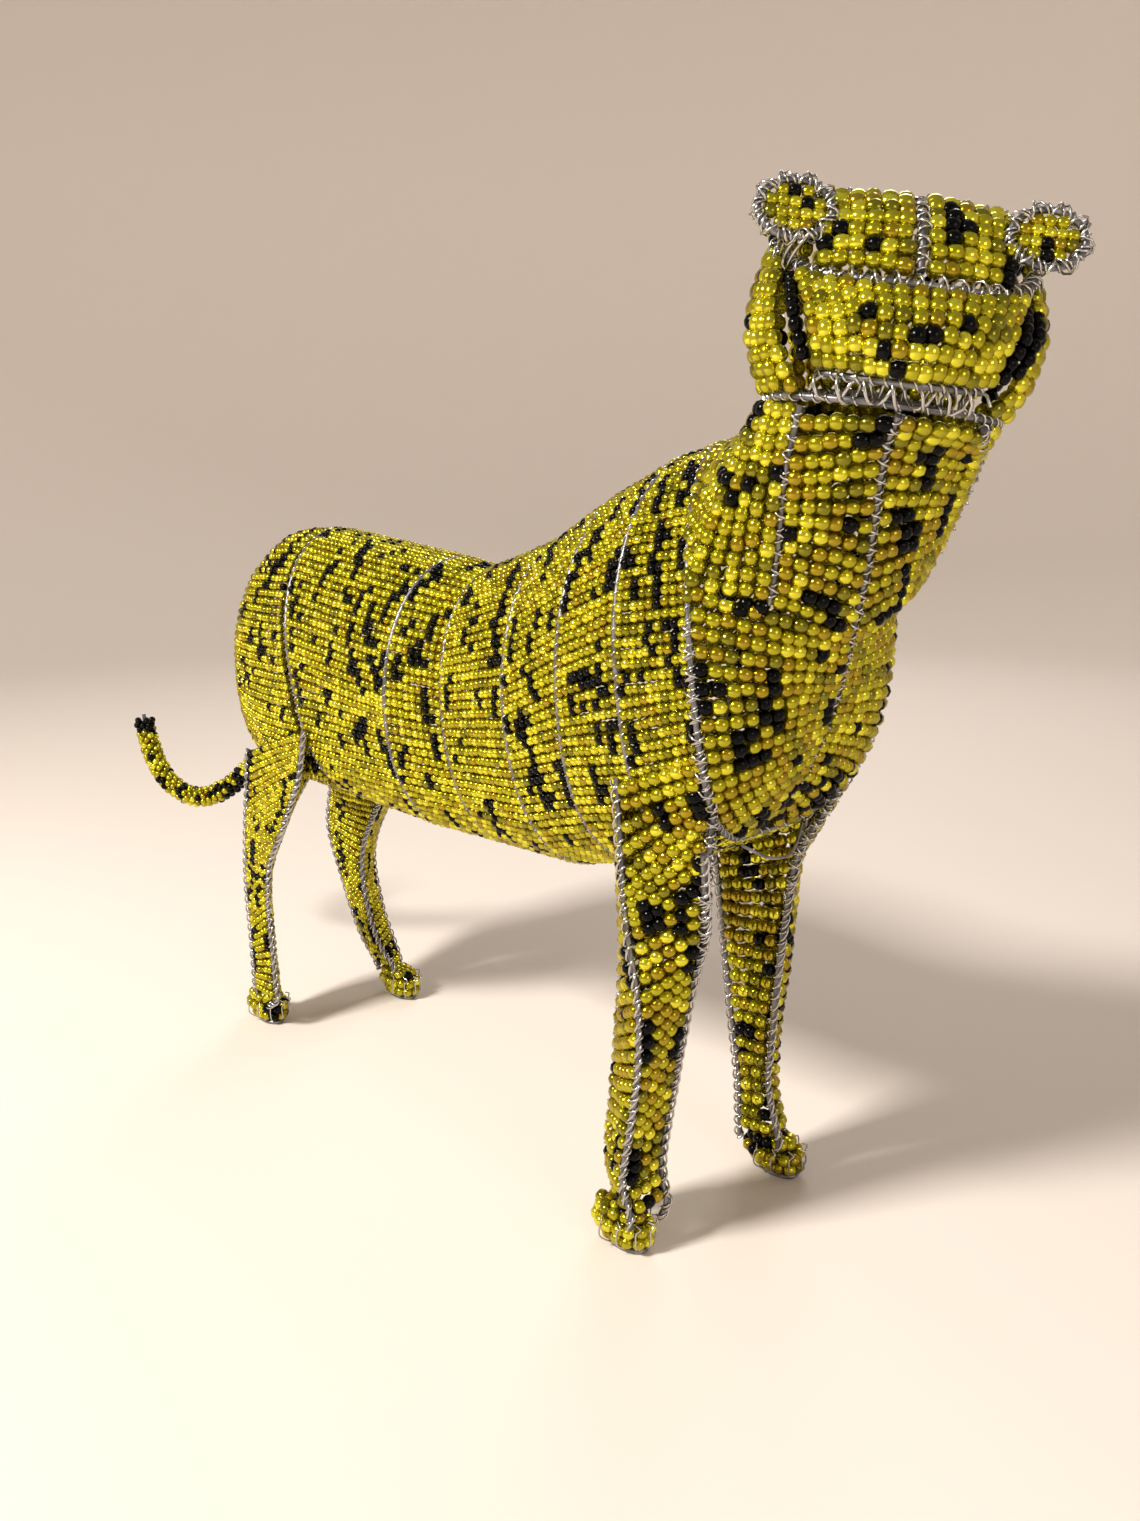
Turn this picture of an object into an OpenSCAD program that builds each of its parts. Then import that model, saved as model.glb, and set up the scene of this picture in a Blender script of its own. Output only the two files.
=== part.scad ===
// Wire and bead big cat, standing, with its head turned to its right.
// Frame wires carry rows of threaded glass beads. The animal faces -Y, its left side is +X,
// and the four paws stand on z = 0.

/* [Wire] */
// Thickness of the frame wire
wire_d = 1.6; // [1.2:0.1:2.2]
// Free gap between a wire and the beadwork beside it
wire_gap = 0.4; // [0.3:0.1:0.8]
// Thickness of the thin wire that threads the beads
thread_d = 0.8; // [0.6:0.1:1]

/* [Beads] */
// Size of the beads on the body, the rear legs and the tail
body_bead = 3; // [2:0.1:3.8]
// Size of the beads on the head, the neck, the chest and the front legs
head_bead = 4; // [3:0.1:4.8]

/* [Body] */
// Length of the body, from the shoulder hoop to the haunch hoop
body_l = 200; // [160:1:240]
// Width over the chest hoop, wire centre to wire centre
chest_w = 77; // [62:1:92]
// Width over the haunch hoop, wire centre to wire centre
haunch_w = 62; // [50:1:74]
// Width over the waist hoop, wire centre to wire centre
waist_w = 56; // [45:1:66]
// How far the rump reaches behind the haunch hoop
rump_l = 56; // [46:1:67]

/* [Legs] */
// Height of the underside of the body above the floor
leg_h = 104; // [86:1:124]
// Height of each paw
paw_h = 13; // [10:0.5:16]
// Length of each paw
paw_l = 22; // [18:0.5:26]
// Width of each paw
paw_w = 16; // [13:0.5:19]

/* [Head] */
// Width of the head over the brow wire
head_w = 58; // [48:1:70]
// Height from the jaw hoop to the crown wire
head_h = 45; // [38:1:52]
// How far the head is turned to its right
head_turn = 47; // [36:1:58]
// How far the head leans over to its left
head_roll = 8; // [0:1:12]
// Width of an ear loop
ear_w = 16; // [13:0.5:19]
// Height of an ear loop
ear_h = 13; // [10:0.5:15]

/* [Tail] */
// Thickness of the beaded tail
tail_d = 9.5; // [8:0.5:12]

/* [Hidden] */

steel = [0.72, 0.73, 0.75];
yellow = [0.86, 0.76, 0.05];
black = [0.04, 0.04, 0.04];

wire_sides = 8;
hoop_steps = 32;
wire_r = wire_d / 2;
// Distance from a wire's centre line to the edge of the beadwork that it carries
inset = wire_r + wire_gap;

// ---- Small helpers ----

function unit(v) = v / norm(v);
function lerp(a, b, t) = a + (b - a) * t;
function signed_power(v, e) = sign(v) * pow(abs(v), e);
// A number between the entries of a list, t runs from 0 to 1
function along(list, t) =
    let (f = min(max(t, 0), 1) * (len(list) - 1), i = min(floor(f), len(list) - 2))
    lerp(list[i], list[i + 1], f - i);
// A smooth curve through the points of a list, t runs from 0 to 1
function curve_at(p, t) =
    let (n = len(p) - 1, f = min(max(t, 0), 1) * n, i = min(floor(f), n - 1), u = f - i)
    let (b = p[i], c = p[i + 1])
    let (a = i > 0 ? p[i - 1] : 2 * b - c, d = i < n - 1 ? p[i + 2] : 2 * c - b)
    0.5 * (2 * b + (c - a) * u + (2 * a - 5 * b + 4 * c - d) * u * u
    + (3 * b - a - 3 * c + d) * u * u * u);
function curve(p, steps, from = 0, to = 1) =
    [for (i = [0:steps]) curve_at(p, lerp(from, to, i / steps))];
// The point where a ray from q along d meets the plane through p with normal n
function onto_plane(q, d, p, n) = q + d * (((p - q) * n) / (d * n));

// ---- Solids swept and lofted from points ----

// A grid of rings joined into one closed solid, capped at both ends unless it is a loop
module rings_solid(rings, loop = false) {
    n = len(rings);
    m = len(rings[0]);
    last = loop ? n - 1 : n - 2;
    sides = [for (i = [0:last]) for (j = [0:m - 1])
        [i * m + j, ((i + 1) % n) * m + j,
            ((i + 1) % n) * m + (j + 1) % m, i * m + (j + 1) % m]];
    caps = loop ? [] : [[for (j = [0:m - 1]) j], [for (j = [m - 1:-1:0]) (n - 1) * m + j]];
    polyhedron([for (r = rings) for (q = r) q], concat(sides, caps));
}

// The first ring of a swept wire, square to its first stretch
function start_ring(p, r, sides) =
    let (d = unit(p[1] - p[0]), up = abs(d.z) < 0.8 ? [0, 0, 1] : [0, 1, 0])
    let (a = unit(cross(up, d)), b = cross(d, a))
    [for (k = [0:sides - 1]) p[0] + r * (a * cos(360 * k / sides) + b * sin(360 * k / sides))];
// Every ring of an open wire: each is the one before it, carried on to the next mitre
function open_rings(p, r, sides) =
    let (n = len(p) - 1)
    [for (i = 0, ring = start_ring(p, r, sides); i <= n;
        i = i + 1,
        ring = i > n ? ring : let (d = unit(p[i] - p[i - 1]))
            let (e = i < n ? unit(unit(p[i + 1] - p[i]) + d) : d)
            [for (q = ring) onto_plane(q, d, p[i], e)]) ring];
// Every ring of a closed wire whose points stay close to the plane with normal axis
function loop_rings(p, r, sides, axis) =
    let (n = len(p))
    [for (i = [0:n - 1])
        let (before = unit(p[i] - p[(i + n - 1) % n]), after = unit(p[(i + 1) % n] - p[i]))
        let (t = unit(before + after), b = unit(axis - (axis * t) * t), a = cross(b, t))
        [for (k = [0:sides - 1]) let (w = 360 * (k + 0.5) / sides)
            p[i] + r * (a * cos(w) + b * sin(w)) / cos(180 / sides)]];

module open_wire(points, d = wire_d, sides = wire_sides) {
    rings_solid(open_rings(points, d / 2, sides));
}
module closed_wire(points, axis, d = wire_d, sides = wire_sides) {
    rings_solid(loop_rings(points, d / 2, sides, axis), loop = true);
}

// A sheet of beadwork on a grid of points. grid[i] runs from rail to rail. The sheet is
// centred on the grid, and closed means that the last column meets the first one.
module bead_sheet(grid, t, closed = false) {
    n = len(grid);
    m = len(grid[0]);
    function row_at(i) = grid[closed ? (i + n) % n : min(max(i, 0), n - 1)];
    normals = [for (i = [0:n - 1]) [for (j = [0:m - 1])
        unit(cross(row_at(i + 1)[j] - row_at(i - 1)[j],
            grid[i][min(j + 1, m - 1)] - grid[i][max(j - 1, 0)]))]];
    sections = [for (i = [0:n - 1]) concat(
        [for (j = [0:m - 1]) grid[i][j] + normals[i][j] * t / 2],
        [for (j = [m - 1:-1:0]) grid[i][j] - normals[i][j] * t / 2])];
    k = 2 * m;
    last = closed ? n - 1 : n - 2;
    sides = [for (i = [0:last]) for (j = [0:k - 1]) for (half = [0, 1])
        let (a = i * k + j, b = ((i + 1) % n) * k + j)
        let (c = ((i + 1) % n) * k + (j + 1) % k, d = i * k + (j + 1) % k)
        half == 0 ? [a, c, b] : [a, d, c]];
    strip = [for (j = [0:m - 2]) for (half = [0, 1])
        half == 0 ? [j, j + 1, k - 1 - j] : [j + 1, k - 2 - j, k - 1 - j]];
    far = (n - 1) * k;
    caps = closed ? [] : concat([for (f = strip) [f[0], f[2], f[1]]],
        [for (f = strip) [far + f[0], far + f[1], far + f[2]]]);
    polyhedron([for (s = sections) for (q = s) q], concat(sides, caps));
}

// One row of beads from a to c, bowed through b, cut back by inset at both ends
function bead_row(a, b, c, steps, cut_a = inset, cut_c = inset) =
    let (l = norm(b - a) + norm(c - b))
    [for (j = [0:steps]) let (t = lerp(cut_a / l, 1 - cut_c / l, j / steps))
        (1 - t) * (1 - t) * a + 2 * t * (1 - t) * (2 * b - (a + c) / 2) + t * t * c];
function straight_row(a, c, steps = 1, cut_a = inset, cut_c = inset) =
    bead_row(a, (a + c) / 2, c, steps, cut_a, cut_c);

// ---- Body hoops ----
// Each hoop: place along the body (0 shoulder, 1 haunch) at its top and its bottom,
// its top and its bottom above the underside of the body, its width, and how square
// its lower half is

hoops = [
    [1.04, 0.92, 93, -2, haunch_w, 3],
    [0.68, 0.67, 85, -6, 66, 2.2],
    [0.58, 0.53, 82, -6, waist_w, 2.2],
    [0.40, 0.35, 93, -5, 66, 2.2],
    [0.26, 0.23, 107, 2, 72, 2.4],
    [0.15, 0.09, 116, 10, chest_w, 2.8],
    [0.10, 0.04, 119, 16, chest_w + 2, 2.4]
];
HAUNCH = 0;
FLANK = 1;
WAIST = 2;
BELLY = 3;
RIB = 4;
CHEST = 5;
SHOULDER = 6;
// Where the shoulder hoop stands along Y
shoulder_y = -121;
// How far forward of its own plane the middle of the shoulder hoop is pushed
shoulder_bow = 16;

function hoop_y(place) = shoulder_y + place * body_l;
function hoop_at(k, w) =
    let (h = hoops[k])
    let (top = [0, hoop_y(h[0]), leg_h + h[2]], low = [0, hoop_y(h[1]), leg_h + h[3]])
    let (e = sin(w) < 0 ? 2 / h[5] : 1)
    let (bow = k == SHOULDER ? shoulder_bow * pow(abs(cos(w)), 1.3) : 0)
    (top + low) / 2 + (top - low) / 2 * signed_power(sin(w), e)
    + [h[4] / 2 * signed_power(cos(w), e), -bow, 0];
function hoop(k) = [for (i = [0:hoop_steps - 1]) hoop_at(k, 360 * i / hoop_steps)];

module hoop_wire(k) {
    color(steel) closed_wire(hoop(k), [0, 1, 0]);
}

// Rows between two neighbouring hoops
module hoop_band(k, bead) {
    color(yellow) bead_sheet(
        [for (i = [0:hoop_steps - 1]) let (w = 360 * i / hoop_steps)
            straight_row(hoop_at(k, w), hoop_at(k + 1, w))], bead, closed = true);
}

// ---- Long wires inside the hoops ----

// Distance between the centre lines of two wires that are tied together
tie = wire_d + wire_gap;
// Distance from a hoop's centre line to a long wire that runs under the beadwork
inside = body_bead / 2 + inset + 0.2;
hoop_tops = [for (k = [SHOULDER:-1:HAUNCH]) hoop_at(k, 90) - [0, 0, inside]];
hoop_lows = [for (k = [SHOULDER:-1:HAUNCH]) hoop_at(k, -90) + [0, 0, inside]];
haunch_y = hoop_y(hoops[HAUNCH][0]);
rump_line = [
    [0, haunch_y + rump_l * 0.5, leg_h + 88],
    [0, haunch_y + rump_l * 0.82, leg_h + 68],
    [0, haunch_y + rump_l, leg_h + 38],
    [0, haunch_y + rump_l * 0.95, leg_h + 10],
    [0, haunch_y + rump_l * 0.8, leg_h - 4]
];
spine_line = concat(hoop_tops, curve(rump_line, 10));

module spine_wire() {
    color(steel) open_wire(spine_line);
}
module belly_wire() {
    color(steel) open_wire(hoop_lows);
}

// ---- Rump ----

// Below 1 the rump is squarer than an ellipse, seen from above
rump_square = 0.77;

// The wire at the middle of the rump, from the top of the haunch hoop to the underside
function rump_at(s) = curve_at(concat([hoop_at(HAUNCH, 90)], rump_line), s);
function rump_row(s, side) =
    let (a = hoop_at(HAUNCH, 90 - side * 180 * s), c = rump_at(0.12 + 0.86 * s))
    let (reach = c.y - a.y)
    [for (j = [0:5]) let (w = lerp(1, 89, j / 5))
        [side * inset + (a.x - side * inset) * pow(cos(w), rump_square),
            a.y + inset + (reach - inset) * pow(sin(w), rump_square),
            lerp(a.z, c.z, 1 - cos(w))]];
module rump_half(side) {
    rows = [for (i = [0:14]) rump_row(0.05 + 0.9 * i / 14, side)];
    bead_sheet(side > 0 ? rows : [for (i = [14:-1:0]) rows[i]], body_bead);
}
module rump_beadwork() {
    color(yellow) for (side = [-1, 1]) rump_half(side);
}

// ---- Head ----
// Head points are [to its left, forward, up] from the middle of the head

head_centre = [-9, -157, leg_h + 146];
function in_head(q) =
    let (u = q.x * cos(head_roll) + q.z * sin(head_roll))
    let (w = q.z * cos(head_roll) - q.x * sin(head_roll))
    head_centre + u * [cos(head_turn), -sin(head_turn), 0]
    + q.y * [-sin(head_turn), -cos(head_turn), 0] + [0, 0, w];
function head_points(list) = [for (q = list) in_head(q)];

crown_z = head_h / 2 + 1;
jaw_z = crown_z - head_h;
half_w = head_w / 2;
// Half of the crown wire's width as a share of half of the head's
crown_share = 0.98;
function crown_local(s) =
    [half_w * crown_share * sin(90 * s), -6 - 3 * s * s, crown_z - 10 * pow(abs(s), 3)];
function brow_local(s) =
    [half_w * sin(82 * s), -10 + 26 * cos(84 * s), 3 + 8 * pow(abs(s), 3)];
function jaw_local(angle) =
    let (w = (angle + 360) % 360, back = w > 180)
    [(half_w - 3) * cos(w), -4 + (back ? 21 : 22) * sin(w),
        jaw_z + (back ? 5 * pow(sin(w), 2) : 0)];
function mouth_local(s) = [17 * s, 23 - 9 * s * s, jaw_z + 4 + s * s];

module jaw_hoop() {
    points = head_points([for (i = [0:27]) jaw_local(360 * i / 28)]);
    color(steel) closed_wire(points, [0, 0, 1]);
}
module crown_wire() {
    color(steel) open_wire(head_points([for (i = [-8:8]) crown_local(i / 8 * 0.97)]));
}
module brow_wire() {
    color(steel) open_wire(head_points([for (i = [-9:9]) brow_local(i / 9)]));
}
module mouth_wire() {
    color(steel) open_wire(head_points([for (i = [-5:5]) mouth_local(i / 5)]));
}
module face_centre_wire() {
    line = [crown_local(0) + [0, 2.6, -0.6], [0, 9, crown_z - 8],
        brow_local(0) + [0, -0.6, 2.4]];
    color(steel) open_wire(head_points(curve(line, 6)));
}

// Cut between the brow wire and the thick head beads that meet it at a slant
brow_cut = inset + head_bead * 0.3;

// Forehead: rows across, from the centre wire out to the ears. Both shares are of half of
// the crown wire
ear_middle = half_w - 2;
ear_clearance = 1.6;
forehead_start = 0.09;
forehead_reach = asin((ear_middle - ear_w / 2 - ear_clearance) / (half_w * crown_share)) / 90;
function forehead_point(s, t) =
    let (a = crown_local(s), c = brow_local(s), cut = brow_cut / norm(c - a))
    let (q = lerp(cut, 1 - cut, t))
    in_head(lerp(a, c, q) + [0, 3.5, 3] * 4 * q * (1 - q) * (1 - 0.6 * s * s));
module forehead_half(side) {
    rows = [for (i = [0:6]) let (s = lerp(forehead_start, forehead_reach, i / 6))
        [for (j = [0:3]) forehead_point(side * s, j / 3)]];
    bead_sheet(side > 0 ? rows : [for (i = [6:-1:0]) rows[i]], head_bead);
}
module forehead_beadwork() {
    color(yellow) for (side = [-1, 1]) forehead_half(side);
}

// Muzzle: upright columns from the brow wire down to the mouth wire
muzzle_side = 0.62;
muzzle_swell = 6;
function muzzle_point(s, t) =
    let (a = brow_local(s * muzzle_side), c = mouth_local(s * 0.94))
    let (cut = (brow_cut + 0.2) / norm(c - a), q = lerp(cut, 1 - cut, t))
    in_head(lerp(a, c, q) + [0, muzzle_swell, 0] * 4 * q * (1 - q));
module muzzle_beadwork() {
    columns = [for (i = [-5:5]) [for (j = [0:4]) muzzle_point(i / 5, j / 4)]];
    color(yellow) bead_sheet(columns, head_bead);
}

// Black tear stripes beside the muzzle
function stripe_line(side) =
    let (a = brow_local(side * (muzzle_side + 0.15)))
    let (c = mouth_local(side) + [side * 5.6, -3.5, 1.5], middle = [side * 2.2, 3.5, 0])
    head_points(curve([lerp(a, c, 0.13), lerp(a, c, 0.5) + middle, lerp(a, c, 0.97)], 6));
module tear_stripe(side) {
    color(black) open_wire(stripe_line(side), head_bead, 8);
}

// Cheeks: upright rows from the brow wire down to the jaw hoop
function cheek_row(side, s) =
    let (a = brow_local(side * lerp(0.86, 1, s)), w = lerp(36, -18, s))
    let (j = jaw_local(w < 0 ? w + 360 : w), c = [side * j.x, j.y, j.z])
    let (b = (a + c) / 2 + [side * 4.5, lerp(3, -1, s), 0])
    bead_row(in_head(a), in_head(b), in_head(c), 4, brow_cut + 0.2, inset + head_bead / 4);
module cheek_beadwork(side) {
    rows = [for (i = [0:5]) cheek_row(side, i / 5)];
    color(yellow) bead_sheet(side > 0 ? [for (i = [5:-1:0]) rows[i]] : rows, head_bead);
}

// Back of the head: rows from the crown wire down to the back of the jaw hoop
function head_back_row(s) =
    let (a = crown_local(s), c = jaw_local(270 + 84 * s))
    let (b = (a + c) / 2 + [5.5 * s, -9 * (1 - 0.6 * s * s), 3])
    bead_row(in_head(a), in_head(b), in_head(c), 5, inset + 2.7, inset + head_bead / 4);
module head_back_beadwork() {
    color(yellow) bead_sheet([for (i = [7:-1:-7]) head_back_row(i / 8)], head_bead);
}

// Ears: a loop of wire with a small pad of rows inside it
ear_tilt = 20;
function ear_point(side, w, r) =
    let (x = r * ear_w / 2 * cos(w), z = r * ear_h / 2 * sin(w))
    let (middle = [side * ear_middle, 5, crown_z - ear_h / 2])
    in_head(middle + [x, -z * sin(ear_tilt), z * cos(ear_tilt)]);
module ear_loop(side) {
    color(steel) closed_wire([for (i = [0:15]) ear_point(side, i * 22.5, 1)],
        in_head([0, 1, 0]) - in_head([0, 0, 0]));
}
module ear_beadwork(side) {
    shrink = 1 - 2 * inset / ear_h;
    rows = [for (i = [0:6]) let (x = lerp(-0.86, 0.86, i / 6), z = sqrt(1 - x * x))
        let (low = ear_point(side, -90, shrink * z), high = ear_point(side, 90, shrink * z))
        let (step = ear_point(side, 0, shrink * x) - ear_point(side, 0, 0))
        [for (t = [0, 0.5, 1]) lerp(low, high, t) + step]];
    color(yellow) bead_sheet(rows, head_bead * 0.75);
}

// ---- Neck ----

jaw_front = in_head(jaw_local(90));
neck_right_top = in_head(jaw_local(140)) + [0, 0, -tie];
neck_left_top = in_head(jaw_local(40)) + [0, 0, -tie];
neck_side_right_line = [neck_right_top, [-31, -143, leg_h + 111], [-29, -140, leg_h + 96],
    [-28, -137, leg_h + 82], [-28, -131, leg_h + 69]];
neck_side_left_line = [neck_left_top, [14, -163, leg_h + 110], [22, -153, leg_h + 98],
    [28, -143, leg_h + 86], [30, -134, leg_h + 70]];
throat_line = [jaw_front + [0, 0, -tie], [-20, -161, leg_h + 114], [-11, -152, leg_h + 91],
    [-5, -144, leg_h + 72], [0, -136, leg_h + 54], [0, -128, leg_h + 36], [0, -118, leg_h + 23]];

// Share of a neck side line that the wire covers: it stops at the top row of the chest
neck_side_share = 0.76;
module neck_side_wire(line) {
    color(steel) open_wire(curve(line, 10, 0, neck_side_share));
}
module throat_wire() {
    color(steel) open_wire(curve(throat_line, 18));
}

// Rows from a neck side wire across to the throat wire
module throat_beadwork(line, side) {
    rows = [for (i = [0:6]) let (t = i / 6)
        let (a = curve_at(line, lerp(0.06, neck_side_share, t)))
        let (c = curve_at(throat_line, lerp(0.05, 0.5, t)))
        bead_row(a, (a + c) / 2 + [0, -2.5, 0], c, 3, inset + 0.8, inset + 0.4)];
    color(yellow) bead_sheet(side > 0 ? rows : [for (i = [6:-1:0]) rows[i]], head_bead);
}

// Rows from the shoulder hoop across the chest to the throat wire
function chest_row(side, t) =
    let (a = hoop_at(SHOULDER, 90 - side * lerp(75, 176, t)))
    let (c = curve_at(throat_line, lerp(0.53, 0.985, t)))
    bead_row(a, (a + c) / 2 + [side * 5, -6, 0] * (1 - t), c, 4, inset, inset + 0.6);
module chest_beadwork(side) {
    rows = [for (i = [0:10]) chest_row(side, i / 10)];
    color(yellow) bead_sheet(side > 0 ? [for (i = [10:-1:0]) rows[i]] : rows, head_bead);
}

// Where the rows of one side of the neck end: along the shoulder hoop, then along the top
// row of the chest to the neck side wire
hoop_share = 0.76;
corner_angle = 71;
function neck_row_end(line, side, s) =
    let (corner = hoop_at(SHOULDER, 90 - side * corner_angle))
    let (far_end = curve_at(line, neck_side_share) + [0, 0, 3])
    s < hoop_share ? hoop_at(SHOULDER, 90 - side * lerp(2, corner_angle, s / hoop_share))
    : lerp(corner, far_end, (s - hoop_share) / (1 - hoop_share));
// Rows down the side of the neck, from the jaw hoop
function neck_row(line, side, s) =
    let (a = in_head(jaw_local(270 + side * lerp(0, 113, s))), c = neck_row_end(line, side, s))
    let (b = (a + c) / 2 + lerp([0, 8, -4], [side * 1, 0, 0], s))
    bead_row(a, b, c, 5, inset + head_bead / 4, inset + 3.3);
module neck_beadwork(line, side) {
    rows = [for (i = [0:9]) neck_row(line, side, lerp(0.04, 0.9, i / 9))];
    color(yellow) bead_sheet(side > 0 ? [for (i = [9:-1:0]) rows[i]] : rows, head_bead);
}

// ---- Legs ----
// Each leg has an inner, a front and an outer wire. A point is [outward from the side of the
// body, back from the shoulder or the haunch, share of the way from the paw up to the body]

paw_top = paw_h + 1;
function leg_z(share) = lerp(paw_top, leg_h, share);
function front_leg(side, list) =
    [for (q = list) [side * (chest_w / 2 + q.x), shoulder_y + q.y, leg_z(q.z)]];
function rear_leg(side, list) =
    [for (q = list) [side * (haunch_w / 2 + q.x), shoulder_y + body_l + q.y, leg_z(q.z)]];

front_right_leg = [
    front_leg(-1, [[-18, 37, 1.01], [-14, 35, 0.8], [-13, 37, 0.5], [-13, 39, 0.3],
        [-13, 41, 0.1], [-13, 39, 0]]),
    front_leg(-1, [[-7, 0, 1.14], [-13, 5, 0.93], [-14, 10, 0.76], [-14, 14, 0.56],
        [-14, 18, 0.33], [-14, 21, 0.13], [-13, 18, 0]]),
    front_leg(-1, [[-0.5, 24, 1.31], [-0.5, 21, 0.95], [-0.5, 17, 0.73], [-0.5, 17, 0.5],
        [-0.5, 20, 0.3], [-0.5, 23, 0.11], [-1.5, 21, 0]])
];
front_left_leg = [
    front_leg(1, [[-18, 41, 1.01], [-14.5, 41, 0.8], [-14.5, 37, 0.47], [-14.5, 33, 0.2],
        [-14.5, 32, 0]]),
    front_leg(1, [[-11, 13, 1.1], [-13, 16, 0.9], [-13.5, 19, 0.62], [-13.5, 21, 0.36],
        [-13.5, 22, 0.18], [-13, 18, 0]]),
    front_leg(1, [[-0.5, 25, 1.31], [-0.5, 25, 0.9], [-1.5, 25, 0.62], [-2.5, 28, 0.33],
        [-2.5, 28, 0.13], [-3.5, 24, 0]])
];
rear_right_leg = [
    rear_leg(-1, [[-12, 13, 0.98], [-12, 29, 0.78], [-12, 44, 0.56], [-12, 47, 0.36],
        [-12, 46, 0.16], [-11, 43, 0]]),
    rear_leg(-1, [[1.5, -11, 1.2], [1, -6, 1.06], [1, 7, 0.83], [0, 21, 0.63], [-1, 26, 0.44],
        [-1, 25, 0.22], [-1, 24, 0]]),
    rear_leg(-1, [[-2, 36, 1.03], [-1, 39, 0.73], [-1, 41, 0.49], [-1, 40, 0.24], [-1, 40, 0]])
];
rear_left_leg = [
    rear_leg(1, [[-11, 54, 0.96], [-9, 59, 0.78], [-9, 62, 0.59], [-9, 53, 0.36],
        [-9, 42, 0.13], [-8, 32, 0]]),
    rear_leg(1, [[-12, 5, 0.96], [-11, 20, 0.8], [-11, 34, 0.54], [-11, 33, 0.3],
        [-10, 27, 0.11], [-8, 20, 0]]),
    rear_leg(1, [[1, -4, 1.1], [1, 10, 0.97], [0, 27, 0.8], [0, 43, 0.51], [0, 39, 0.24],
        [0, 33, 0.11], [0, 27, 0]])
];
// The left legs with their wires in the order that turns their beadwork outward
function other_hand(leg) = [leg[1], leg[0], leg[2]];
front_left_turned = other_hand(front_left_leg);
rear_left_turned = other_hand(rear_left_leg);

leg_steps = 14;
module leg_wires(lines) {
    color(steel) for (line = lines) open_wire(curve(line, leg_steps));
}

// A leg's beadwork fills the space between its three wires and stands out between them
leg_gap = wire_gap + 1.3;
function corner_cut(p, a, b, bead) =
    let (half = acos(unit(p[a] - p[b]) * unit(p[3 - a - b] - p[b])) / 2)
    min((wire_r + leg_gap + bead / 2 * sin(half)) / cos(half), norm(p[a] - p[b]) * 0.48);
function leg_section(lines, t, bead) =
    let (p = [for (l = lines) along(curve(l, leg_steps), t)])
    [for (k = [0:2]) let (m = (k + 1) % 3, a = p[k], b = p[m], c = p[3 - k - m])
        let (d = unit(b - a), out = -unit((c - a) - ((c - a) * d) * d))
        for (q = [a + d * corner_cut(p, m, k, bead), b - d * corner_cut(p, k, m, bead)])
            q + out * bead / 2];
module leg_beadwork(lines, bead) {
    color(yellow) rings_solid([for (i = [0:leg_steps])
        leg_section(lines, lerp(0.03, 0.97, i / leg_steps), bead)]);
}

// ---- Paws ----
// Middle of each paw on the floor

front_right_paw = front_leg(-1, [[-6.5, 31, 0]])[0];
front_left_paw = front_leg(1, [[-8.5, 25, 0]])[0];
rear_right_paw = rear_leg(-1, [[-5, 41, 0]])[0];
rear_left_paw = rear_leg(1, [[-4, 23, 0]])[0];
toe_reach = 4;
paw_steps = 16;

function paw_outline(at, grow, z, shift = 0) =
    [for (i = [0:paw_steps - 1]) let (w = 360 * i / paw_steps)
        [at.x + (paw_w / 2 + grow) * cos(w), at.y - shift + (paw_l / 2 + grow) * sin(w), z]];
module paw_beadwork(at) {
    low = wire_d + wire_gap;
    h = paw_h - low - wire_gap;
    // Share of the height, and how far the outline grows there
    levels = [[0, -4], [0.25, -0.5], [0.55, 0], [0.8, -2], [1, -5]];
    color(yellow) rings_solid([for (l = levels)
        paw_outline(at, l[1], low + l[0] * h, toe_reach * (1 - l[0]))]);
}
sole_inset = 4.5;
module sole_ring(at) {
    color(steel) closed_wire(paw_outline(at, -sole_inset, wire_r, toe_reach), [0, 0, 1]);
}

// ---- Tail ----

tail_line = [[0, 0, 0], [-4, 16, -11], [-9, 32, -23], [-14, 47, -29], [-18, 61, -27],
    [-21, 71, -19], [-22, 79, -5], [-22, 81, 5]];
tail_root = [0, haunch_y + rump_l * 0.9 + inset + body_bead / 2, leg_h + 4];
function tail_points(steps, from = 0, to = 1) =
    [for (q = curve(tail_line, steps, from, to)) tail_root + q];
module tail_core_wire() {
    color(steel) open_wire(tail_points(20));
}
tail_sides = 10;
// A sleeve of beads around the core wire
module tail_beadwork() {
    points = tail_points(20, 0.03, 0.97);
    outer = open_rings(points, tail_d / 2, tail_sides);
    inner = open_rings(points, inset, tail_sides);
    k = tail_sides;
    last = len(points) - 1;
    // Faces that join ring a to ring b, counted in points
    function band(a, b) = [for (j = [0:k - 1]) let (m = (j + 1) % k) [a + j, b + j, b + m, a + m]];
    under = (last + 1) * k;
    faces = concat(
        [for (i = [0:last - 1]) for (f = band(i * k, (i + 1) * k)) f],
        [for (i = [0:last - 1]) for (f = band(under + (i + 1) * k, under + i * k)) f],
        band(under, 0),
        band(last * k, under + last * k));
    color(yellow) polyhedron([for (r = concat(outer, inner)) for (q = r) q], faces);
}

// ---- Loose end of threading wire, bent out below the chest ----

loose_line = [[-29, -131, 22], [-22, -134, 18], [-14, -134, 17], [-8, -132, 19], [-2, -129, 22]];
module loose_thread_wire() {
    color(steel) open_wire(curve([for (q = loose_line) [q.x, q.y, leg_h + q.z]], 12), thread_d);
}

// ---- Place of the whole animal: the middle of its bounding box over the origin ----

head_front_y = head_centre.y - head_w * 0.545;
tail_end_y = tail_root.y + tail_line[7].y + tail_d / 2;
module placed() {
    translate([0, -(head_front_y + tail_end_y) / 2, 0]) children();
}

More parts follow.
